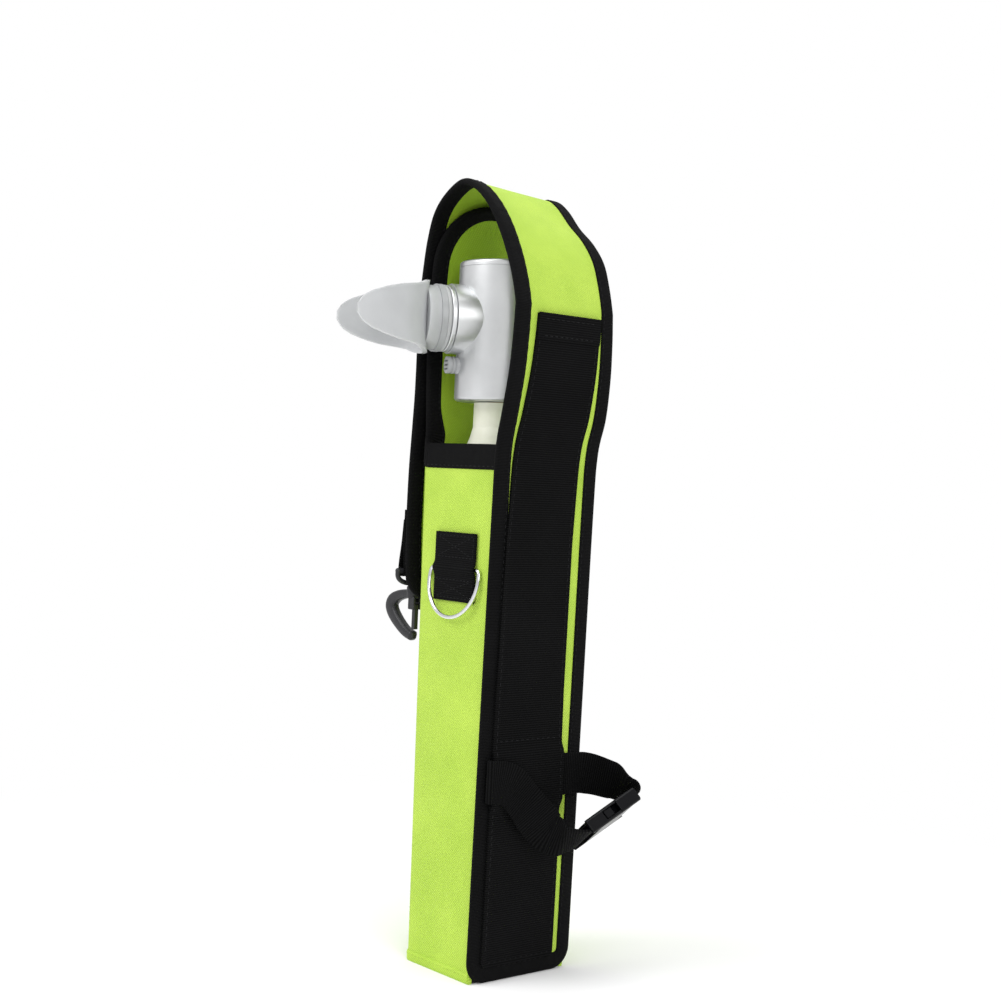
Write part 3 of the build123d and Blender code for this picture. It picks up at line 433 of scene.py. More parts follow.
class Pocket(Sheet):
    """The pocket's wall and the tongue above it. y runs round the wall from the middle of the front."""

    sign = -1
    CORNER = 5.0
    FLAT = POCKET_HALF - CORNER
    ARC = CORNER * math.pi / 2

    def __init__(self, path):
        self.path = path

    def side_run(self, s):
        """Length of the wall's side, from the end of its corner to the back."""
        return -2 * self.path.at(s)[0] - FABRIC - self.CORNER

    def point(self, s, y):
        x0, z = self.path.at(s)
        side, a = (1 if y >= 0 else -1), abs(y)
        bulge = 1.1 * math.sin(math.pi * min(1, max(0, z / MOUTH_Z))) if z < MOUTH_Z else 0.0
        if a <= self.FLAT:
            return np.array([x0 - bulge * 0.6 * math.cos(a / self.FLAT * math.pi / 2), y, z])
        bend = (1 - smoothstep(MOUTH_Z + 2, MOUTH_Z + 60, z)) / self.CORNER + 1e-4
        arc = a - self.FLAT
        if z > MOUTH_Z + 2 or arc <= self.ARC:
            turn = arc * bend
            over = self.FLAT + math.sin(turn) / bend
            return np.array([x0 + (1 - math.cos(turn)) / bend, side * over, z])
        run = arc - self.ARC
        puff = bulge * math.sin(math.pi * min(1.0, run / self.side_run(s)))
        return np.array([x0 + self.CORNER + run, side * (POCKET_HALF + puff), z])


# stations of the strip: x and z of its edge on the mouthpiece side, then on the far side
STRIP = [(31.5, 0.8, 31.5, 0.8), (33.9, 150, 33.9, 150), (35.9, 270, 35.9, 270), (36.8, 306, 37.6, 306),
         (40.8, 327, 43.0, 327), (45.4, 350, 45.4, 350), (47.6, 370, 45.6, 370), (48.4, 384.6, 45.0, 384.6),
         (48.2, 390.4, 44.4, 390.4), (44.0, 405, 40.6, 405), (37.0, 421, 35.2, 419), (27.8, 437, 25.4, 431),
         (16.8, 450.5, 12.8, 441.5), (4.4, 459.5, 1.2, 453.5), (-8, 462.4, -9, 459.2),
         (-22.5, 455.5, -22.5, 455.5), (-32.5, 445, -32.5, 445), (-37.8, 430, -37.8, 430),
         (-40.8, 413, -40.8, 413), (-42.8, 395, -42.8, 395), (-43.4, 374.5, -43.4, 374.5),
         (-43.5, 368.7, -43.5, 368.7), (-43.6, 340, -43.6, 340), (-44.8, 316, -44.8, 316),
         (-46.2, 290, -46.2, 290), (-46.3, 255, -46.3, 255), (-44.6, 228, -44.6, 228),
         (-42.4, 214.8, -42.4, 214.8)]
strip = Strip(STRIP)
KNOTS = strip.path.knots
wall = Pocket(Path([(-31.5, 0), (-34.0, 154), (-36.0, 280), (-36.5, 308), (-37.6, 340), (-37.9, 375),
                    (-37.0, 400), (-35.4, 418), (-32.8, 430), (-28.6, 440.5), (-22.6, 448.2),
                    (-16.6, 452.0)]))
WALL_MOUTH = wall.path.knots[3]
DOME_S = wall.path.length - DOME          # the tongue's sides run straight up to here


def across(low, high, columns=17):
    return np.linspace(low, high, columns)


def slab(name, sheet, rows, material, thick=FABRIC, lift=0.0, raised=None, inner_painted_shade=None):
    """Cloth layer with an outer and an inner face; the inner face may take a darker material of its own, as
    painted shade.
    rows is a list of (s, places across it), and raised gives a further height at (s, y)."""
    outer, inner, uvs = [], [], []
    for s, places in rows:
        for y in places:
            rise = lift + (raised(s, y) if raised else 0.0)
            p, n = sheet.frame(s, y)
            outer.append(p + n * rise)
            inner.append(p + n * (rise - thick))
            uvs.append((y, s))
    columns = len(rows[0][1])
    obj = make_mesh(name, outer + inner, double_faces(len(rows), columns), uvs + uvs, material)
    if inner_painted_shade:
        obj.data.materials.append(inner_painted_shade)
        # outer and inner faces take turns; the inner ones take the darker lime, painted shade
        for i in range(1, 2 * (len(rows) - 1) * (columns - 1), 2):
            obj.data.polygons[i].material_index = 1
    fair(obj)
    return obj


# section of the edge tape: distance beyond the cloth's edge, and height over the cloth
TAPE_FOLD = -1.3                          # the tape lies on the cloth up to here and then turns
TAPE_FACE = [(-TAPE_REACH, 0.02), (-9.42, 0.55), (-9.0, TAPE), (-7.7, TAPE + 0.06), (-6.3, TAPE + 0.1),
             (-5, TAPE + 0.12), (-3.7, TAPE + 0.1), (-2.4, TAPE + 0.06), (-1.2, TAPE), (0.0, 0.35)]
TAPE_EDGE = [(0.72, -0.7), (0.72, -FABRIC + 0.7)]
TAPE_PROFILE = TAPE_FACE + TAPE_EDGE + [(a, -FABRIC - b) for a, b in reversed(TAPE_FACE)]


def tape(name, sheet, edge, reach=None):
    """Binding folded over a sheet's edge. edge is a list of (s, y, outward s, outward y), and reach gives
    how far the tape lies over the cloth at each of its places."""
    rings, uvs, run, last = [], [], 0.0, None
    for i, (s, y, os, oy) in enumerate(edge):
        wide = reach[i] / TAPE_REACH if reach else 1.0
        here = sheet.point(s, y)
        run += 0.0 if last is None else float(np.linalg.norm(here - last))
        last = here
        ripple = 0.10 * math.sin(run * 0.9)
        ring = []
        for k, (a, b) in enumerate(TAPE_PROFILE):
            if a < TAPE_FOLD:
                a *= wide
                b += ripple if b > 0 else 0.0
            p, n = sheet.frame(s + os * a, y + oy * a)
            ring.append(p + n * b)
            uvs.append((1.6 * k, run))
        rings.append(ring)
    return loft(name, rings, TAPE_BLACK, uvs)


# one stitch: share of its length, share of its radius, and height above the line
BEAD = ((0.0, 0.35, -0.35), (0.16, 0.95, -0.02), (0.5, 1.0, 0.10), (0.84, 0.95, -0.02), (1.0, 0.35, -0.35))
BEAD_SIDES = 6


def stitches(name, line, material, pitch=4.0, length=2.7, r=0.30):
    """Sewn dashes along a line of (point, normal), each a small bead bent into the cloth."""
    points = np.array([p for p, _ in line])
    normals = np.array([n for _, n in line])
    s = np.concatenate([[0], np.cumsum(np.linalg.norm(np.diff(points, axis=0), axis=1))])

    def at(v, data):
        return np.array([np.interp(v, s, data[:, k]) for k in range(3)])

    verts, faces = [], []
    bead_faces = loft_faces(len(BEAD), BEAD_SIDES)
    for start in np.arange(pitch / 2, s[-1] - length, pitch):
        n = unit(at(start + length / 2, normals))
        d = unit(at(start + length, points) - at(start, points))
        w = np.cross(d, n)
        base = len(verts)
        faces += [tuple(base + v for v in face) for face in bead_faces]
        for t, size, up in BEAD:
            c = at(start + t * length, points) + n * (up - SEAM_RISE)
            verts += [c + (w * x + n * (0.8 * y)) * (r * size) for x, y in circle(BEAD_SIDES)]
    return make_mesh(name, verts, faces, None, material)


def on_sheet(sheet, places, lift):
    """(point, normal) pairs lifted off a sheet at (s, y) places."""
    line = []
    for s, y in places:
        p, n = sheet.frame(s, y)
        line.append((p + n * lift, n * (1 if lift >= 0 else -1)))
    return line


def label(obj, slot, *replaced):
    """Hides the CAD nodes that a piece stands for. Its slot is not used."""
    if replaced:
        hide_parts(*replaced)


def attach(obj, body, slot, *replaced):
    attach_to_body(obj, body)
    label(obj, slot, *replaced)


def sew(name, line, slot, material=THREAD_GREY, **size):
    """A row of stitching that stays with the carrier."""
    attach(stitches(name, line, material, **size), "carrier", slot)


# lines of stitching stand off the tape on the cloth's outer and inner faces
SEAM_FACES = (("out", TAPE + SEAM_RISE), ("in", -FABRIC - TAPE - SEAM_RISE))
SMALL_STITCH = dict(length=2.3, r=0.26)


# -------------------- the long strip
def round_rows(s_end, s_far, corner, inward=1, step=3.0):
    """Rows of the strip from an end at s_end with rounded corners."""
    rows = []
    for a in np.linspace(0, math.pi / 2, 9):
        width = HALF - corner + corner * math.sin(a)
        rows.append((s_end + inward * corner * (1 - math.cos(a)), across(-width, width)))
    rows += [(s, across(-HALF, HALF)) for s in spaced(s_end + inward * corner, s_far, step)[1:]]
    return rows


def end_edge(s_end, s_far, corner, inward=1, step=3.0):
    """Edge round the strip's rounded end: down one side, across, and up the other."""
    start = s_end + inward * corner
    straight = HALF - corner
    side = [(s, -HALF, 0, -1) for s in spaced(s_far, start, step)]
    for a in np.linspace(0, math.pi / 2, 10)[1:]:
        os, oy = -inward * math.sin(a), -math.cos(a)
        side.append((start + os * corner, oy * corner - straight, os, oy))
    end = [(s_end, y, -inward, 0) for y in spaced(-straight, straight, step)[1:-1]]
    return side + end + [(s, -y, os, -oy) for s, y, os, oy in reversed(side)]


BACK_CUT = KNOTS[6] + 2.0      # the back's own cloth stops here and the crown's begins
REAR_MID = KNOTS[11] + 6.0     # cuts between the pieces that bend at each fold
FRONT_MID = KNOTS[17]


def bend(obj, fold, slot, *replaced):
    """Bakes a piece's placement into its mesh and hides the CAD nodes that it stands for. Its fold is not
    used.
    """
    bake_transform(obj)
    label(obj, slot, *replaced)


def build_strip():
    rows = round_rows(0, BACK_CUT, BACK_CORNER)
    # the inner faces of the strip's cloth pieces take the darker lime: painted shade
    attach(slab("back_cloth", strip, rows, LIME, inner_painted_shade=LIME_PAINTED_SHADE), "carrier", "lime_fabric", "back_panel")
    edge = end_edge(0, BACK_CUT, BACK_CORNER)
    attach(tape("back_edge_tape", strip, edge), "carrier", "black_tape", "back_binding")
    for fold, low, high, part in (("rear", BACK_CUT, REAR_MID, "crown_rear"),
                                  ("top", REAR_MID, FRONT_MID, "crown_front")):
        places = spaced(low, high, 2.0)
        rows = [(s, across(-HALF, HALF)) for s in places]
        cloth = slab(f"{fold}_fold_cloth", strip, rows, LIME, inner_painted_shade=LIME_PAINTED_SHADE)
        bend(cloth, fold, "lime_fabric", f"{part}_panel")
        near = tape(f"{fold}_fold_tape_near", strip, [(s, -HALF, 0, -1) for s in places])
        bend(near, fold, "black_tape", f"{part}_binding")
        far = tape(f"{fold}_fold_tape_far", strip, [(s, HALF, 0, 1) for s in places])
        bend(far, fold, "black_tape")
    end = strip.path.length
    rows = round_rows(end, FRONT_MID, TAIL_CORNER, -1, 2.0)
    bend(slab("tail_cloth", strip, rows, LIME, inner_painted_shade=LIME_PAINTED_SHADE), "tail", "lime_fabric", "tail_panel")
    edge = end_edge(end, FRONT_MID, TAIL_CORNER, -1, 2.0)
    bend(tape("tail_edge_tape", strip, edge), "tail", "black_tape", "tail_binding")
    sides = (("near", -SEAM_Y), ("far", SEAM_Y))
    outer = SEAM_FACES[0][1]
    for side, y in sides:
        line = on_sheet(strip, [(s, y) for s in spaced(22, BACK_CUT - 1)], outer)
        sew(f"back_stitch_{side}", line, "black_tape")
    sew("back_stitch_low", on_sheet(strip, [(8.0, y) for y in spaced(-20, 20)], outer), "black_tape")
    for fold, low, high in (("rear", BACK_CUT, REAR_MID), ("top", REAR_MID, FRONT_MID),
                            ("tail", FRONT_MID, end - 16)):
        for side, y in sides:
            for face, lift in SEAM_FACES:
                line = on_sheet(strip, [(s, y) for s in spaced(low, high, 2.0)], lift)
                bend(stitches(f"{fold}_stitch_{side}_{face}", line, THREAD_GREY), fold, "black_tape")


# -------------------- the pocket and its tongue
DOME_ANGLES = np.linspace(0, math.pi / 2, 16)[1:]


def round_wall(s, short=0.0):
    """Places across the pocket's wall from its back edge on one side to that on the other."""
    corner = wall.FLAT + wall.ARC
    end = corner + wall.side_run(s) + 0.1 - short
    half = [*np.linspace(0, wall.FLAT, 13), *np.linspace(wall.FLAT, corner, 7)[1:],
            *np.linspace(corner, end, 19)[1:]]
    return [-y for y in reversed(half[1:])] + half


def mouth_edge():
    """The tape's way along the mouth, up the tongue, over its dome and down again."""
    back_y = round_wall(WALL_MOUTH)[-1]
    half = [(WALL_MOUTH, -y, 1, 0) for y in spaced(back_y, TONGUE_HALF + MOUTH_TURN, 3.0)]
    for a in np.linspace(0, math.pi / 2, 25)[1:-1]:
        s = WALL_MOUTH + MOUTH_TURN * (1 - math.cos(a))
        y = TONGUE_HALF + MOUTH_TURN * (1 - math.sin(a))
        half.append((s, -y, math.cos(a), -math.sin(a)))
    half += [(s, -TONGUE_HALF, 0, -1) for s in spaced(WALL_MOUTH + MOUTH_TURN, DOME_S, 3.0)]
    for a in DOME_ANGLES:
        out_s, out_y = unit((TONGUE_HALF * math.sin(a), DOME * math.cos(a)))
        half.append((DOME_S + DOME * math.sin(a), -TONGUE_HALF * math.cos(a), out_s, -out_y))
    return half + [(s, -y, os, -oy) for s, y, os, oy in reversed(half[:-1])]


def build_pocket():
    rows = [(s, round_wall(s)) for s in spaced(0, WALL_MOUTH, 6.0)]
    # the inner faces of the pocket and tongue take the darker lime: painted shade
    attach(slab("pocket_cloth", wall, rows, LIME, inner_painted_shade=LIME_PAINTED_SHADE), "carrier", "lime_fabric", "pocket_wrap")
    rows = [(s, across(-TONGUE_HALF, TONGUE_HALF, 25)) for s in spaced(WALL_MOUTH, DOME_S, 4.0)]
    for a in DOME_ANGLES:
        half = max(0.6, TONGUE_HALF * math.cos(a))
        rows.append((DOME_S + DOME * math.sin(a), across(-half, half, 25)))
    attach(slab("tongue_cloth", wall, rows, LIME, inner_painted_shade=LIME_PAINTED_SHADE), "carrier", "lime_fabric")
    edge = mouth_edge()
    # the tape is wider round the mouth
    reach = [TAPE_REACH + 4.5 * (1 - smoothstep(WALL_MOUTH + 1, WALL_MOUTH + 25, s)) for s, *_ in edge]
    attach(tape("mouth_tape", wall, edge, reach), "carrier", "black_tape", "mouth_binding")
    places = [(s - os * (r - 1.8), y - oy * (r - 1.8)) for (s, y, os, oy), r in zip(edge, reach)]
    for face, lift in SEAM_FACES:
        sew(f"mouth_stitch_{face}", on_sheet(wall, places, lift), "black_tape")
    # hem folded up along the pocket's lower edge
    rows = [(s, round_wall(s, 0.5)) for s in (0.1, 1.2, 5.2, 6.0)]
    hem = slab("pocket_hem", wall, rows, LIME, 0.8, 0.75, lambda s, y: -0.5 if s > 5.6 or s < 0.6 else 0.0)
    attach(hem, "carrier", "lime_fabric")
    line = on_sheet(wall, [(4.4, y) for y in round_wall(4.4, 2.0)], 0.85)
    sew("pocket_hem_stitch", line, "lime_fabric", THREAD_LIME, pitch=3.4, **SMALL_STITCH)


# -------------------- webbing
# section of the webbing: shares of its half width and of its half thickness
WEB_FACE = [(-0.985, 0.7), (-0.93, 1.0), (-0.45, 1.0), (0.0, 1.0), (0.45, 1.0), (0.93, 1.0), (0.985, 0.7)]
WEB_PROFILE = [(-1.0, 0.0), *WEB_FACE, (1.0, 0.0), *((a, -b) for a, b in reversed(WEB_FACE))]


def webbing(name, stations, half, thick=WEB):
    """Webbing through (centre, width direction, normal) stations."""
    rings, uvs, run, last = [], [], 0.0, None
    for centre, wide, normal in stations:
        run += 0.0 if last is None else float(np.linalg.norm(centre - last))
        last = centre
        rings.append([centre + wide * (a * half) + normal * (b * thick / 2) for a, b in WEB_PROFILE])
        uvs += [(a * half, run) for a, b in WEB_PROFILE]
    return loft(name, rings, WEB_BLACK, uvs)


def strap_stations(points, steps=8):
    """Smooth stations through (centre, direction, width direction) triples."""
    points = [tuple(np.array(v, float) for v in p) for p in points]
    out = []
    for i in range(steps * (len(points) - 1) + 1):
        k = min(i // steps, len(points) - 2)
        t = i / steps - k
        (a, a_dir, a_wide), (b, b_dir, b_wide) = points[k], points[k + 1]
        reach = np.linalg.norm(b - a)
        a_dir, b_dir = unit(a_dir) * reach, unit(b_dir) * reach
        c = (a * (2 * t**3 - 3 * t**2 + 1) + a_dir * (t**3 - 2 * t**2 + t)
             + b * (3 * t**2 - 2 * t**3) + b_dir * (t**3 - t**2))
        along = unit(a * (6 * t**2 - 6 * t) + a_dir * (3 * t**2 - 4 * t + 1)
                     + b * (6 * t - 6 * t**2) + b_dir * (3 * t**2 - 2 * t))
        wide = unit(a_wide) * (1 - t) + unit(b_wide) * t
        wide = unit(wide - along * np.dot(wide, along))
        out.append((c, wide, unit(np.cross(along, wide))))
    return out


# the back webbing drifts across the strip on its way up: s, and its two edges there
WEB_EDGES = [(0, -31, 24), (60, -31, 24), (165, -31, 21.5), (252, -29.6, 21.5), (330, -25.5, 24),
             (385, -23, 26.5)]


def web_edges(s):
    """Places of the back webbing's two edges, with its lower corners rounded."""
    at, near, far = zip(*WEB_EDGES)
    short = max(0.0, 1 - (s - WEB_LOW) / WEB_TUCK)
    tuck = WEB_TUCK * (1 - math.sqrt(max(0.0, 1 - short ** 2)))
    return np.interp(s, at, near) + tuck, np.interp(s, at, far) - tuck


def web_rise(s, y):
    """How far the webbing stands off the cloth, over the edge tape and over the strap's tunnel."""
    z = s + STRIP[0][1]
    tunnel = TUNNEL * smoothstep(96.5, 104, z) * (1 - smoothstep(130, 137.5, z))
    bend_at = HALF - BACK_CORNER
    if s >= BACK_CORNER:
        beyond = abs(y) - (HALF - TAPE_REACH)
    elif abs(y) <= bend_at:
        beyond = TAPE_REACH - s
    else:
        beyond = math.hypot(s - BACK_CORNER, abs(y) - bend_at) - (BACK_CORNER - TAPE_REACH)
    return max(tunnel, 0.85 * smoothstep(-1.3, 0.2, beyond))


def on_web(places, lift):
    """(point, normal) pairs over the back webbing at (s, y) places."""
    return [(p + n * web_rise(s, y), n) for (p, n), (s, y) in zip(on_sheet(strip, places, lift), places)]


def build_back_webbing():
    high = KNOTS[7] - 0.7
    rows = [(s, across(*web_edges(s), 27)) for s in [WEB_LOW + 0.1, *spaced(WEB_LOW + 1, high, 2.0)]]
    web = slab("back_web", strip, rows, WEB_BLACK, WEB, WEB + 0.05, web_rise)
    attach(web, "carrier", "black_webbing", "back_webbing")
    places = (high - 15, high - 14, *spaced(high - 13, high + 0.4, 1.5))
    rows = [(s, across(*web_edges(s), 9)) for s in places]
    hem = slab("back_web_hem", strip, rows, WEB_BLACK, 0.9, WEB + 0.35,
               lambda s, y: 0.45 * smoothstep(high - 15, high - 13.5, s))
    attach(hem, "carrier", "black_webbing")
    top = WEB + SEAM_RISE
    for side, inset in enumerate((2.4, -2.4)):
        places = [(s, web_edges(s)[side] + inset) for s in spaced(WEB_LOW + 8, high - 2)]
        sew(f"back_web_stitch_{side}", on_web(places, top), "black_webbing")
    for i, s in enumerate((WEB_LOW + 2.5, 95.0, 138.5, high - 12.5, high - 3)):
        near, far = web_edges(s)
        lift = top + (0.8 if s > high - 14 else 0.0)
        line = on_web([(s, y) for y in spaced(near + 3, far - 3)], lift)
        sew(f"back_web_row_{i}", line, "black_webbing")


BUCKLE_AT = np.array([62.0, 15.0, 86.5])
BUCKLE_DIR = unit([0, 0.915, 0.404])
BUCKLE_WIDE = np.array([0.80, -0.24, 0.55])
BUCKLE_WIDE = unit(BUCKLE_WIDE - BUCKLE_DIR * np.dot(BUCKLE_WIDE, BUCKLE_DIR))
BUCKLE_FLAT = np.cross(BUCKLE_DIR, BUCKLE_WIDE)
BAR_WRAP = 1.3 + 0.25 + 0.6               # a bar's radius, room, and half the webbing
SOCKET_BAR = 3.3                          # places of the two bars along the buckle
PLUG_BAR = 36.7


def by_buckle(along, flat=0.0):
    return BUCKLE_AT + BUCKLE_DIR * along + BUCKLE_FLAT * flat


def around_bar(place, way):
    """Stations that wrap the webbing round a buckle bar, starting on the side the strap comes from."""
    out = []
    for a in np.linspace(math.pi * 0.5, math.pi * 1.75, 15):
        radial = BUCKLE_DIR * (way * math.cos(a)) + BUCKLE_FLAT * math.sin(a)
        out.append((by_buckle(place) + radial * BAR_WRAP, BUCKLE_WIDE, radial))
    return out


def build_leg_strap():
    """The strap comes from the plug, passes through the webbing's tunnel and ends at the socket."""
    lean = 5.0 / 308.0
    x_face = STRIP[0][0] + lean * STRAP_Z
    up = (lean, 0, 1)
    x_in = x_face + 0.15 + WEB / 2
    x_out = x_face + TUNNEL + WEB + 0.2 + WEB / 2
    x_far = x_face + 0.8 + 0.2 + WEB / 2
    turn_x, turn_y, turn_r = (x_far + x_out) / 2, -32.8, (x_out - x_far) / 2
    meeting = ((x_far + 0.1, 30, STRAP_Z), (-0.1, -1, 0), up)
    under = [meeting, ((x_in, 22, STRAP_Z), (0, -1, 0), up), ((x_in, -24, STRAP_Z), (0, -1, 0), up)]
    edge = [((turn_x - turn_r * math.cos(a), turn_y - turn_r * math.sin(a), STRAP_Z),
             (math.sin(a), -math.cos(a), 0), up) for a in np.linspace(0, math.pi, 4)]
    near = [((x_out + 0.4, -19, STRAP_Z - 3), (0.03, 0.86, -0.5), (0, 0.5, 0.86)),
            ((x_out + 1.6, -9, 104), (0.15, 0.65, -0.72), (0, 0.72, 0.68)),
            ((44, -2, 94), (0.5, 0.5, -0.7), (0.2, 0.62, 0.76)),
            ((51.5, 2.5, 86.5), (0.75, 0.55, -0.35), (0.5, 0.2, 0.84)),
            ((58, 7, 84), (0.55, 0.82, 0.1), (0.7, -0.1, 0.68)),
            (by_buckle(2.6, 2.15), BUCKLE_DIR, BUCKLE_WIDE)]
    stations = strap_stations(under + edge + near) + around_bar(SOCKET_BAR, -1)
    attach(webbing("leg_strap_near", stations, 12.4), "carrier", "black_webbing", "leg_strap")
    curl = []
    for a in np.radians((0, 45, 90, 135)):
        centre = by_buckle(42.0 + 4.5 * math.sin(a), 4.5 * math.cos(a) - 4.5)
        curl.append((centre, BUCKLE_DIR * math.cos(a) - BUCKLE_FLAT * math.sin(a), BUCKLE_WIDE))
    far = [(by_buckle(37.4, 2.15), BUCKLE_DIR, BUCKLE_WIDE), *curl,
           ((50.5, 50.2, 113.6), (-0.72, -0.62, 0.2), (0.35, -0.1, 0.93)),
           ((x_far + 3.1, 41.8, STRAP_Z - 0.6), (-0.62, -0.8, 0.12), (0.05, 0, 1)),
           ((x_far + 0.8, 37, STRAP_Z), (-0.2, -1, 0.02), up), meeting]
    loop = [(c, w, -n) for c, w, n in reversed(around_bar(PLUG_BAR, 1))]
    piece = webbing("leg_strap_far", loop + strap_stations(far), 12.35)
    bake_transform(piece)
    label(piece, "black_webbing", "leg_strap_end")


def ring_tab(name, origin, x_dir, out_dir, half, up, down, peak, replaced):
    """Webbing tab sewn flat above and below a ring's bar, with its boxes of stitching."""
    origin, x_dir, out_dir = np.array(origin, float), unit(x_dir), unit(out_dir)
    rise = np.cross(out_dir, x_dir)
    flat = 0.85                           # height of the tab's middle where it is sewn down

    def height(v):
        return flat + (peak - flat) * math.exp(-(v / 2.6) ** 2)

    stations = []
    for v in spaced(-down, up, 0.8):
        slope = (height(v + 0.1) - height(v - 0.1)) / 0.2
        stations.append((origin + rise * v + out_dir * height(v), x_dir, unit(out_dir - rise * slope)))
    attach(webbing(name, stations, half), "carrier", "black_webbing", replaced)
    seams = []
    x1, x0 = half - 2, 2 - half
    for v0, v1 in ((6.5, up - 2), (2 - down, -6.5)):
        seams.append([(x0, v0), (x1, v0), (x1, v1), (x0, v1), (x0, v0)])
        seams.append([(x0, v0), (x1, v1)])
        seams.append([(x0, v1), (x1, v0)])
    for i, seam in enumerate(seams):
        line = []
        for start, end in zip(seam, seam[1:]):
            for x, v in np.linspace(start, end, 8):
                lift = height(v) + WEB / 2 + 0.1
                line.append((origin + x_dir * x + rise * v + out_dir * lift, out_dir))
        sew(f"{name}_stitch_{i}", line, "black_webbing", pitch=3.2, **SMALL_STITCH)


def build_tabs():
    ring_tab("side_tab", (2, -36.9, 236), (1, 0, 0), (0, -1, 0), 18.8, 21, 19, 2.65, "side_ring_tab")
    ring_tab("front_tab", (-34.9, -14, 176), (0, -1, 0), (-1, 0, -0.016), 9.5, 16, 10, 2.96,
             "front_ring_tab")
    # tab of the snap hook, folded round the eye's bar
    track = Path([(-48.9, 262), (-50.2, 248), (-51.9, 237), (-52.2, 231), (-51.0, 228.7), (-49.0, 228.3),
                  (-47.2, 229.4), (-46.8, 232), (-47.4, 240), (-48.2, 250), (-48.2, 268)])
    stations = []
    for s in spaced(0, track.length, 1.5):
        (x, z), (dx, dz) = track.at(s), track.heading(s)
        stations.append((np.array([x, HOOK_Y, z]), np.array([0, 1.0, 0]), np.array([-dz, 0, dx])))
    attach(webbing("hook_tab", stations, 10.0, 1.3), "tail", "black_webbing", "tail_tab")


# -------------------- snap hook
HOOK_X, HOOK_Y = -49.4, -28.0             # the swivel's axis
HOOK_LINE = [(1.0, 216.9), (-7.0, 216.4), (-14.5, 214.6), (-19.6, 211.6), (-21.0, 208.0), (-18.6, 203.6),
             (-12.5, 198.2), (-5.0, 193.6), (3.2, 190.9)]
HOOK_WIDTHS = [2.7, 2.8, 3.3, 4.1, 4.6, 4.2, 3.7, 3.3, 2.9]
HOOK_DEEP = 3.0
HOOK_SIDES = 24
BARREL = [(214.3, 3.5), (214.9, 4.2), (221.1, 4.2), (221.7, 3.5)]     # heights and radii
CHEEK = dict(x=(-1.4, 4.6), z=(207.6, 215.6), inner=1.65, round_by=0.6)


def by_hook(x, y, z):
    return HOOK_X + x, HOOK_Y + y, z


def build_hook():
    """Round-cornered bow of the hook, its swivel barrel, and the two cheeks that hold its gate."""
    line = Path(HOOK_LINE)
    bow = []
    for s in spaced(0, line.length, 0.7):
        (x, z), (dx, dz) = line.at(s), line.heading(s)
        taper = math.sqrt(min(1.0, (line.length - s + 0.3) / 2.4))
        wide = float(np.interp(s, line.knots, HOOK_WIDTHS)) * taper
        bow.append([by_hook(x - dz * u * wide, v * HOOK_DEEP * taper, z + dx * u * wide)
                    for u, v in circle(HOOK_SIDES, 0.65)])
    attach(loft("hook_bow", bow, HOOK_GREY), "hook", "dark_plastic", "hook_body")
    barrel = [[by_hook(r * x, r * y, z) for x, y in circle(HOOK_SIDES)] for z, r in BARREL]
    attach(loft("hook_barrel", barrel, HOOK_GREY), "hook", "dark_plastic")
    (x0, x1), deep, thin = CHEEK["x"], HOOK_DEEP, CHEEK["inner"]
    for side, y0, y1 in (("near", -deep, -thin), ("far", thin, deep)):
        square = ((x0, y0), (x1, y0), (x1, y1), (x0, y1))
        cheek = loft(f"hook_cheek_{side}", [[by_hook(x, y, z) for x, y in square] for z in CHEEK["z"]],
                     HOOK_GREY)
        bevel = cheek.modifiers.new("rounded", "BEVEL")
        bevel.width, bevel.segments = CHEEK["round_by"] / MM, 3
        attach(cheek, "hook", "dark_plastic")


# -------------------- mouthpiece
def facing(degrees):
    """Directions out, sideways and up at a bearing round the cylinder."""
    a = math.radians(degrees)
    out = np.array([math.sin(a), -math.cos(a), 0.0])
    up = np.array([0, 0, 1.0])
    return out, np.cross(up, out), up


PORT_OUT, PORT_SIDE, PORT_UP = facing(PORT_TURN)


def by_port(x, y, z):
    """Point x out from the cylinder's axis along the mouthpiece's port, y to its side and z over it."""
    return np.array([0, CYL_Y, PORT_Z]) + PORT_OUT * x + PORT_SIDE * y + PORT_UP * z


def build_shield():
    """Shield of the mouthpiece: its plan, and half its height at a distance out from the axis."""
    plan = Path([(97.0, -27), (88, -26.8), (77, -25.6), (64, -21.8), (54.5, -13.5), (50.8, 0),
                 (54.5, 13.5), (64, 21.8), (77, 25.6), (88, 26.8), (97.0, 27)])
    outs, heights = zip((40, 21.4), (50.6, 21.4), (53.0, 20.4), (56.0, 18.6), (61, 17.3), (72, 15.6),
                        (80, 13.6), (88, 10.8), (92.5, 8.2), (95.6, 5.2), (97.0, 2.4))
    rows = spaced(0, plan.length, 2.2)
    levels = np.linspace(-1, 1, 17)
    verts = []
    for face in (1, -1):
        for s in rows:
            (x, y), (dx, dy) = plan.at(s), plan.heading(s)
            height = float(np.interp(x, outs, heights))
            for level in levels:
                thick = face * (1.5 if abs(level) > 0.93 else 1.15)
                verts.append(by_port(x + dy * thick, y - dx * thick, height * level))
    shield = make_mesh("mouthpiece_shield", verts, double_faces(len(rows), len(levels)), None, SILICONE)
    fair(shield)
    return shield


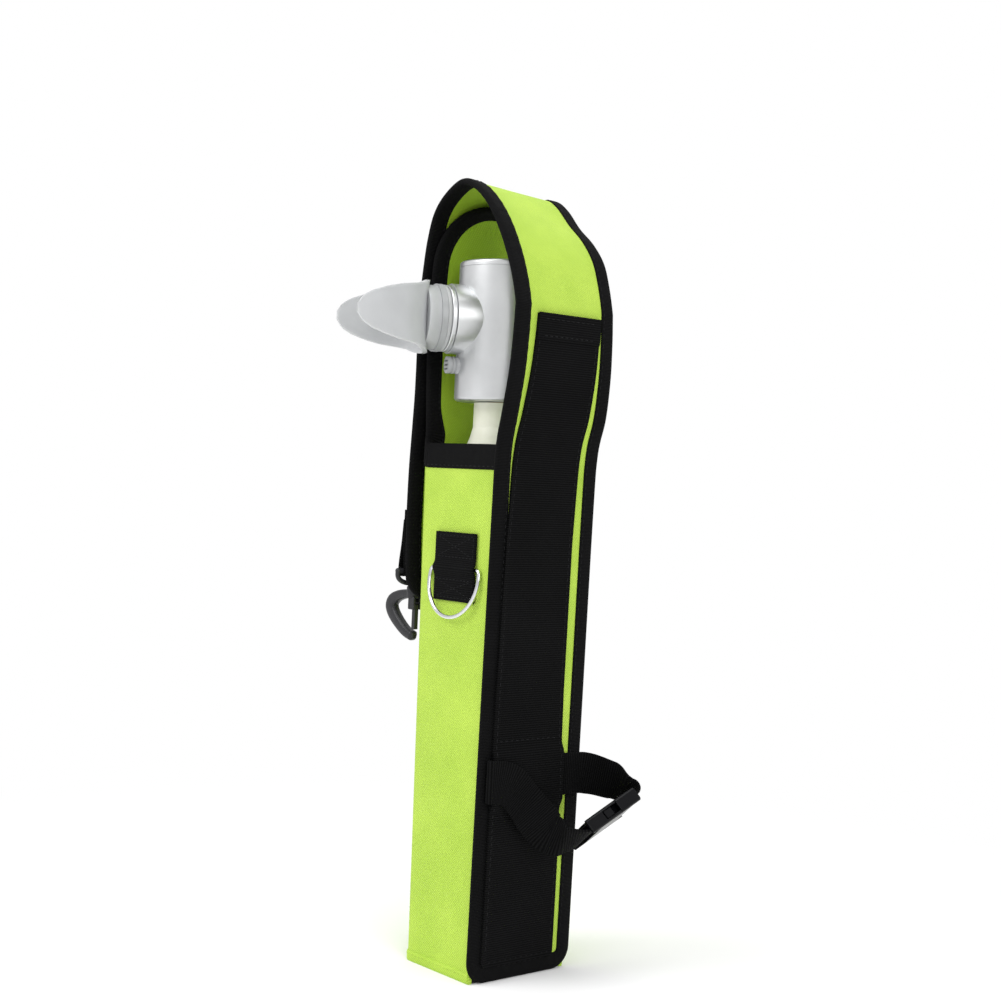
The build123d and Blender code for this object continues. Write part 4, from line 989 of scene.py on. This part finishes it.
def build_sleeve():
    """Sleeve turned about the port, from (distance out, radius); it flattens towards the shield."""
    section = [(39.3, 17.2), (39.3, 19.0), (40.0, 19.5), (41.4, 19.4), (41.9, 18.88), (45.4, 18.88),
               (47, 19.1), (49, 19.8), (51.5, 20.6), (53.0, 20.6), (53.0, 10.0), (46.5, 10.0), (46.3, 17.2)]
    sides, count = 64, len(section)
    verts = []
    for c, q in circle(sides):
        for x, r in section:
            flat = 1.0 - 0.10 * smoothstep(45, 53, x) * q ** 2
            verts.append(by_port(x, r * c, r * q * flat))
    faces = [tuple(v % (sides * count) for v in quad) for quad in sweep_faces(sides + 1, count)]
    sleeve = make_mesh("mouthpiece_sleeve", verts, faces, None, SILICONE)
    fair(sleeve)
    return sleeve


def build_bite(side, way):
    """Block that the teeth hold: distances out, and half its height there."""
    rings = []
    for x, high in ((55.5, 4.2), (62, 5.6), (70, 6.6), (77, 7.0), (80.5, 6.2)):
        middle = 15.4 if x > 60 else 14.2
        thick = 1.3 if x < 74 else 3.2
        rings.append([by_port(x, way * middle + thick * c, high * q) for c, q in circle(16, 0.6)])
    bite = loft(f"mouthpiece_bite_{side}", rings, SILICONE)
    smooth = bite.modifiers.new("smooth", "SUBSURF")
    smooth.levels = smooth.render_levels = 1
    return bite


def build_mouthpiece():
    shield, sleeve = build_shield(), build_sleeve()
    airway = loft("airway", [[by_port(x, 12.5 * c, 7.0 * q) for c, q in circle(40, 0.7)] for x in (46, 62)],
                  SILICONE)
    bites = [build_bite("left", -1), build_bite("right", 1)]
    for part in (shield, sleeve):
        cut = part.modifiers.new("airway", "BOOLEAN")
        cut.object, cut.operation, cut.solver = airway, "DIFFERENCE", "EXACT"
        settled = bpy.data.meshes.new_from_object(part.evaluated_get(bpy.context.evaluated_depsgraph_get()))
        part.modifiers.clear()
        part.data = settled
        soft = part.modifiers.new("soft_edges", "BEVEL")
        soft.width, soft.segments, soft.limit_method, soft.angle_limit = 0.0007, 3, "ANGLE", math.radians(40)
    bpy.data.objects.remove(airway)
    attach(shield, "mouthpiece", "silicone", "mouthpiece")
    for part in (sleeve, *bites):
        attach(part, "mouthpiece", "silicone")


# -------------------- gauge marks
TICK_EVERY, TICK_FIVE, TICK_TEN = (1.1, 0.12), (1.9, 0.2), (2.6, 0.30)     # lengths and half widths


def build_gauge_marks():
    """Forty divisions round three quarters of the dial."""
    out, side, up = facing(GAUGE_TURN)
    centre = np.array([0, CYL_Y, GAUGE_Z]) + out * 35.26
    rim = 11.2
    verts, faces = [], []
    for k in range(41):
        angle = math.radians(225 - 270 * k / 40)
        radial = side * math.cos(angle) + up * math.sin(angle)
        around = np.cross(out, radial)
        length, wide = TICK_TEN if k % 10 == 0 else (TICK_FIVE if k % 5 == 0 else TICK_EVERY)
        faces.append(tuple(range(len(verts), len(verts) + 4)))
        for r, w in ((rim, wide), (rim, -wide), (rim - length, -wide), (rim - length, wide)):
            verts.append(centre + radial * r + around * w)
    attach(make_mesh("gauge_ticks", verts, faces, None, INK, smooth=False), "cylinder", "dial_white")


# -------------------- finishes of the CAD parts
FINISH = (
    (TANK, "tank_shell"), (COLLAR, "neck_collar"), (BUTTON, "purge_button"), (DIAL, "gauge_dial"),
    (RED, "gauge_needle"), (LENS, "gauge_lens"), (BOARD, "bottom_panel"),
    (HEAD, "regulator_housing gauge_bezel"),
    (CAP, "top_cap mouthpiece_port port_ring"),
    (CLEAR_GREY, "mouthpiece_clamp exhaust_cover"),
    (RUBBER, "neck_o_ring diaphragm piston_o_ring exhaust_valve"),
    (BRASS, "valve_core demand_seat poppet piston fill_body burst_plug"),
    (STEEL, "diaphragm_plate purge_spring demand_lever lever_pin poppet_spring piston_spring"),
    (STEEL, "gauge_case fill_poppet fill_spring"),
    (CHROME, "side_ring front_ring"),
    (HOOK_GREY, "hook_eye hook_gate"),
    (BUCKLE_BLACK, "fill_cap buckle_socket buckle_plug prong_upper prong_lower"),
)
# nodes that have their moulded corners rounded: size of the even mesh, and how often it is smoothed
SOFTENED = (("hook_gate", 0.35, 4), ("buckle_socket", 0.3, 5), ("buckle_plug", 0.3, 3), ("hook_eye", 0.3, 2))


def finish_cad():
    for material, names in FINISH:
        for name in names.split():
            obj = nodes[name]
            if not obj.material_slots:
                obj.data.materials.append(material)
            for slot in obj.material_slots:
                slot.material = material
    for name, voxel, repeat in SOFTENED:
        remesh = nodes[name].modifiers.new("even_mesh", "REMESH")
        remesh.mode, remesh.voxel_size, remesh.use_smooth_shade = "VOXEL", voxel / MM, True
        smooth = nodes[name].modifiers.new("rounded", "SMOOTH")
        smooth.factor, smooth.iterations = 0.5, repeat


# -------------------- stage, light and camera
def pale_floor():
    """White floor that melts into the white world away from the object."""
    s = Shader("pale_floor")
    tone = s.ramp(s.noise(3.0, 2.0), [(0.3, (0.93, 0.93, 0.93)), (0.7, (0.96, 0.96, 0.96))])
    matt = s.add("ShaderNodeBsdfDiffuse", Color=tone, Roughness=0.5)
    white = s.add("ShaderNodeEmission", Color=(1.0, 1.0, 1.0, 1.0), Strength=1.0)
    away = s.add("ShaderNodeVectorMath", out=1, _operation="LENGTH", i0=s.place)
    share = s.add("ShaderNodeMapRange", _interpolation_type="SMOOTHSTEP", Value=away, From_Min=0.12,
                  From_Max=0.6)
    mixed = s.add("ShaderNodeMixShader", i0=share, i1=matt, i2=white)
    s.add("ShaderNodeOutputMaterial", Surface=mixed)
    return s.material


def build_floor():
    size = 4.0 * MM
    corners = [(-size, -size, 0), (size, -size, 0), (size, size, 0), (-size, size, 0)]
    make_mesh("floor", corners, [(0, 1, 2, 3)], None, pale_floor(), smooth=False)


def build_world():
    """White world behind the object that is a little dimmer as a light."""
    world = bpy.data.worlds.new("studio")
    bpy.context.scene.world = world
    world.use_nodes = True
    tree = world.node_tree
    path = tree.nodes.new("ShaderNodeLightPath")
    level = tree.nodes.new("ShaderNodeMapRange")
    level.inputs["To Min"].default_value = WORLD_LIGHT
    level.inputs["To Max"].default_value = 1.0
    tree.links.new(path.outputs["Is Camera Ray"], level.inputs["Value"])
    background = tree.nodes["Background"]
    background.inputs["Color"].default_value = (1.0, 1.0, 1.0, 1.0)
    tree.links.new(level.outputs[0], background.inputs["Strength"])
    bpy.context.scene.view_settings.view_transform = "Standard"


def set_up(name, data, place, turn):
    """Puts a lamp or a camera at a place, turned by a quaternion."""
    obj = bpy.data.objects.new(name, data)
    obj.location = place
    obj.rotation_mode = "QUATERNION"
    obj.rotation_quaternion = turn
    bpy.context.scene.collection.objects.link(obj)
    return obj


def build_lamps():
    for name, place, size, power in LAMPS:
        data = bpy.data.lights.new(name, "AREA")
        data.size, data.energy = size, power
        aim = Vector((0, 0, 0.25)) - Vector(place)
        set_up(name, data, place, aim.to_track_quat("-Z", "Y"))


def build_camera():
    """Level view from between the mouthpiece side and the belt side, leaning a little."""
    azimuth, distance = CAMERA_AT["azimuth"], CAMERA_AT["distance"]
    heading, pitch = azimuth + CAMERA_AIM["yaw"], CAMERA_AIM["pitch"]
    forward = Vector((-math.sin(heading) * math.cos(pitch), math.cos(heading) * math.cos(pitch),
                      -math.sin(pitch)))
    data = bpy.data.cameras.new("camera")
    data.lens, data.sensor_width = CAMERA_LENS, 36.0
    place = (math.sin(azimuth) * distance, -math.cos(azimuth) * distance, CAMERA_AT["height"])
    turn = forward.to_track_quat("-Z", "Y") @ Quaternion((0, 0, 1), CAMERA_AIM["roll"])
    bpy.context.scene.camera = set_up("camera", data, place, turn)


build_strip()
build_pocket()
build_back_webbing()
build_leg_strap()
build_tabs()
build_hook()
build_mouthpiece()
build_gauge_marks()
finish_cad()
build_floor()
build_world()
build_lamps()
build_camera()
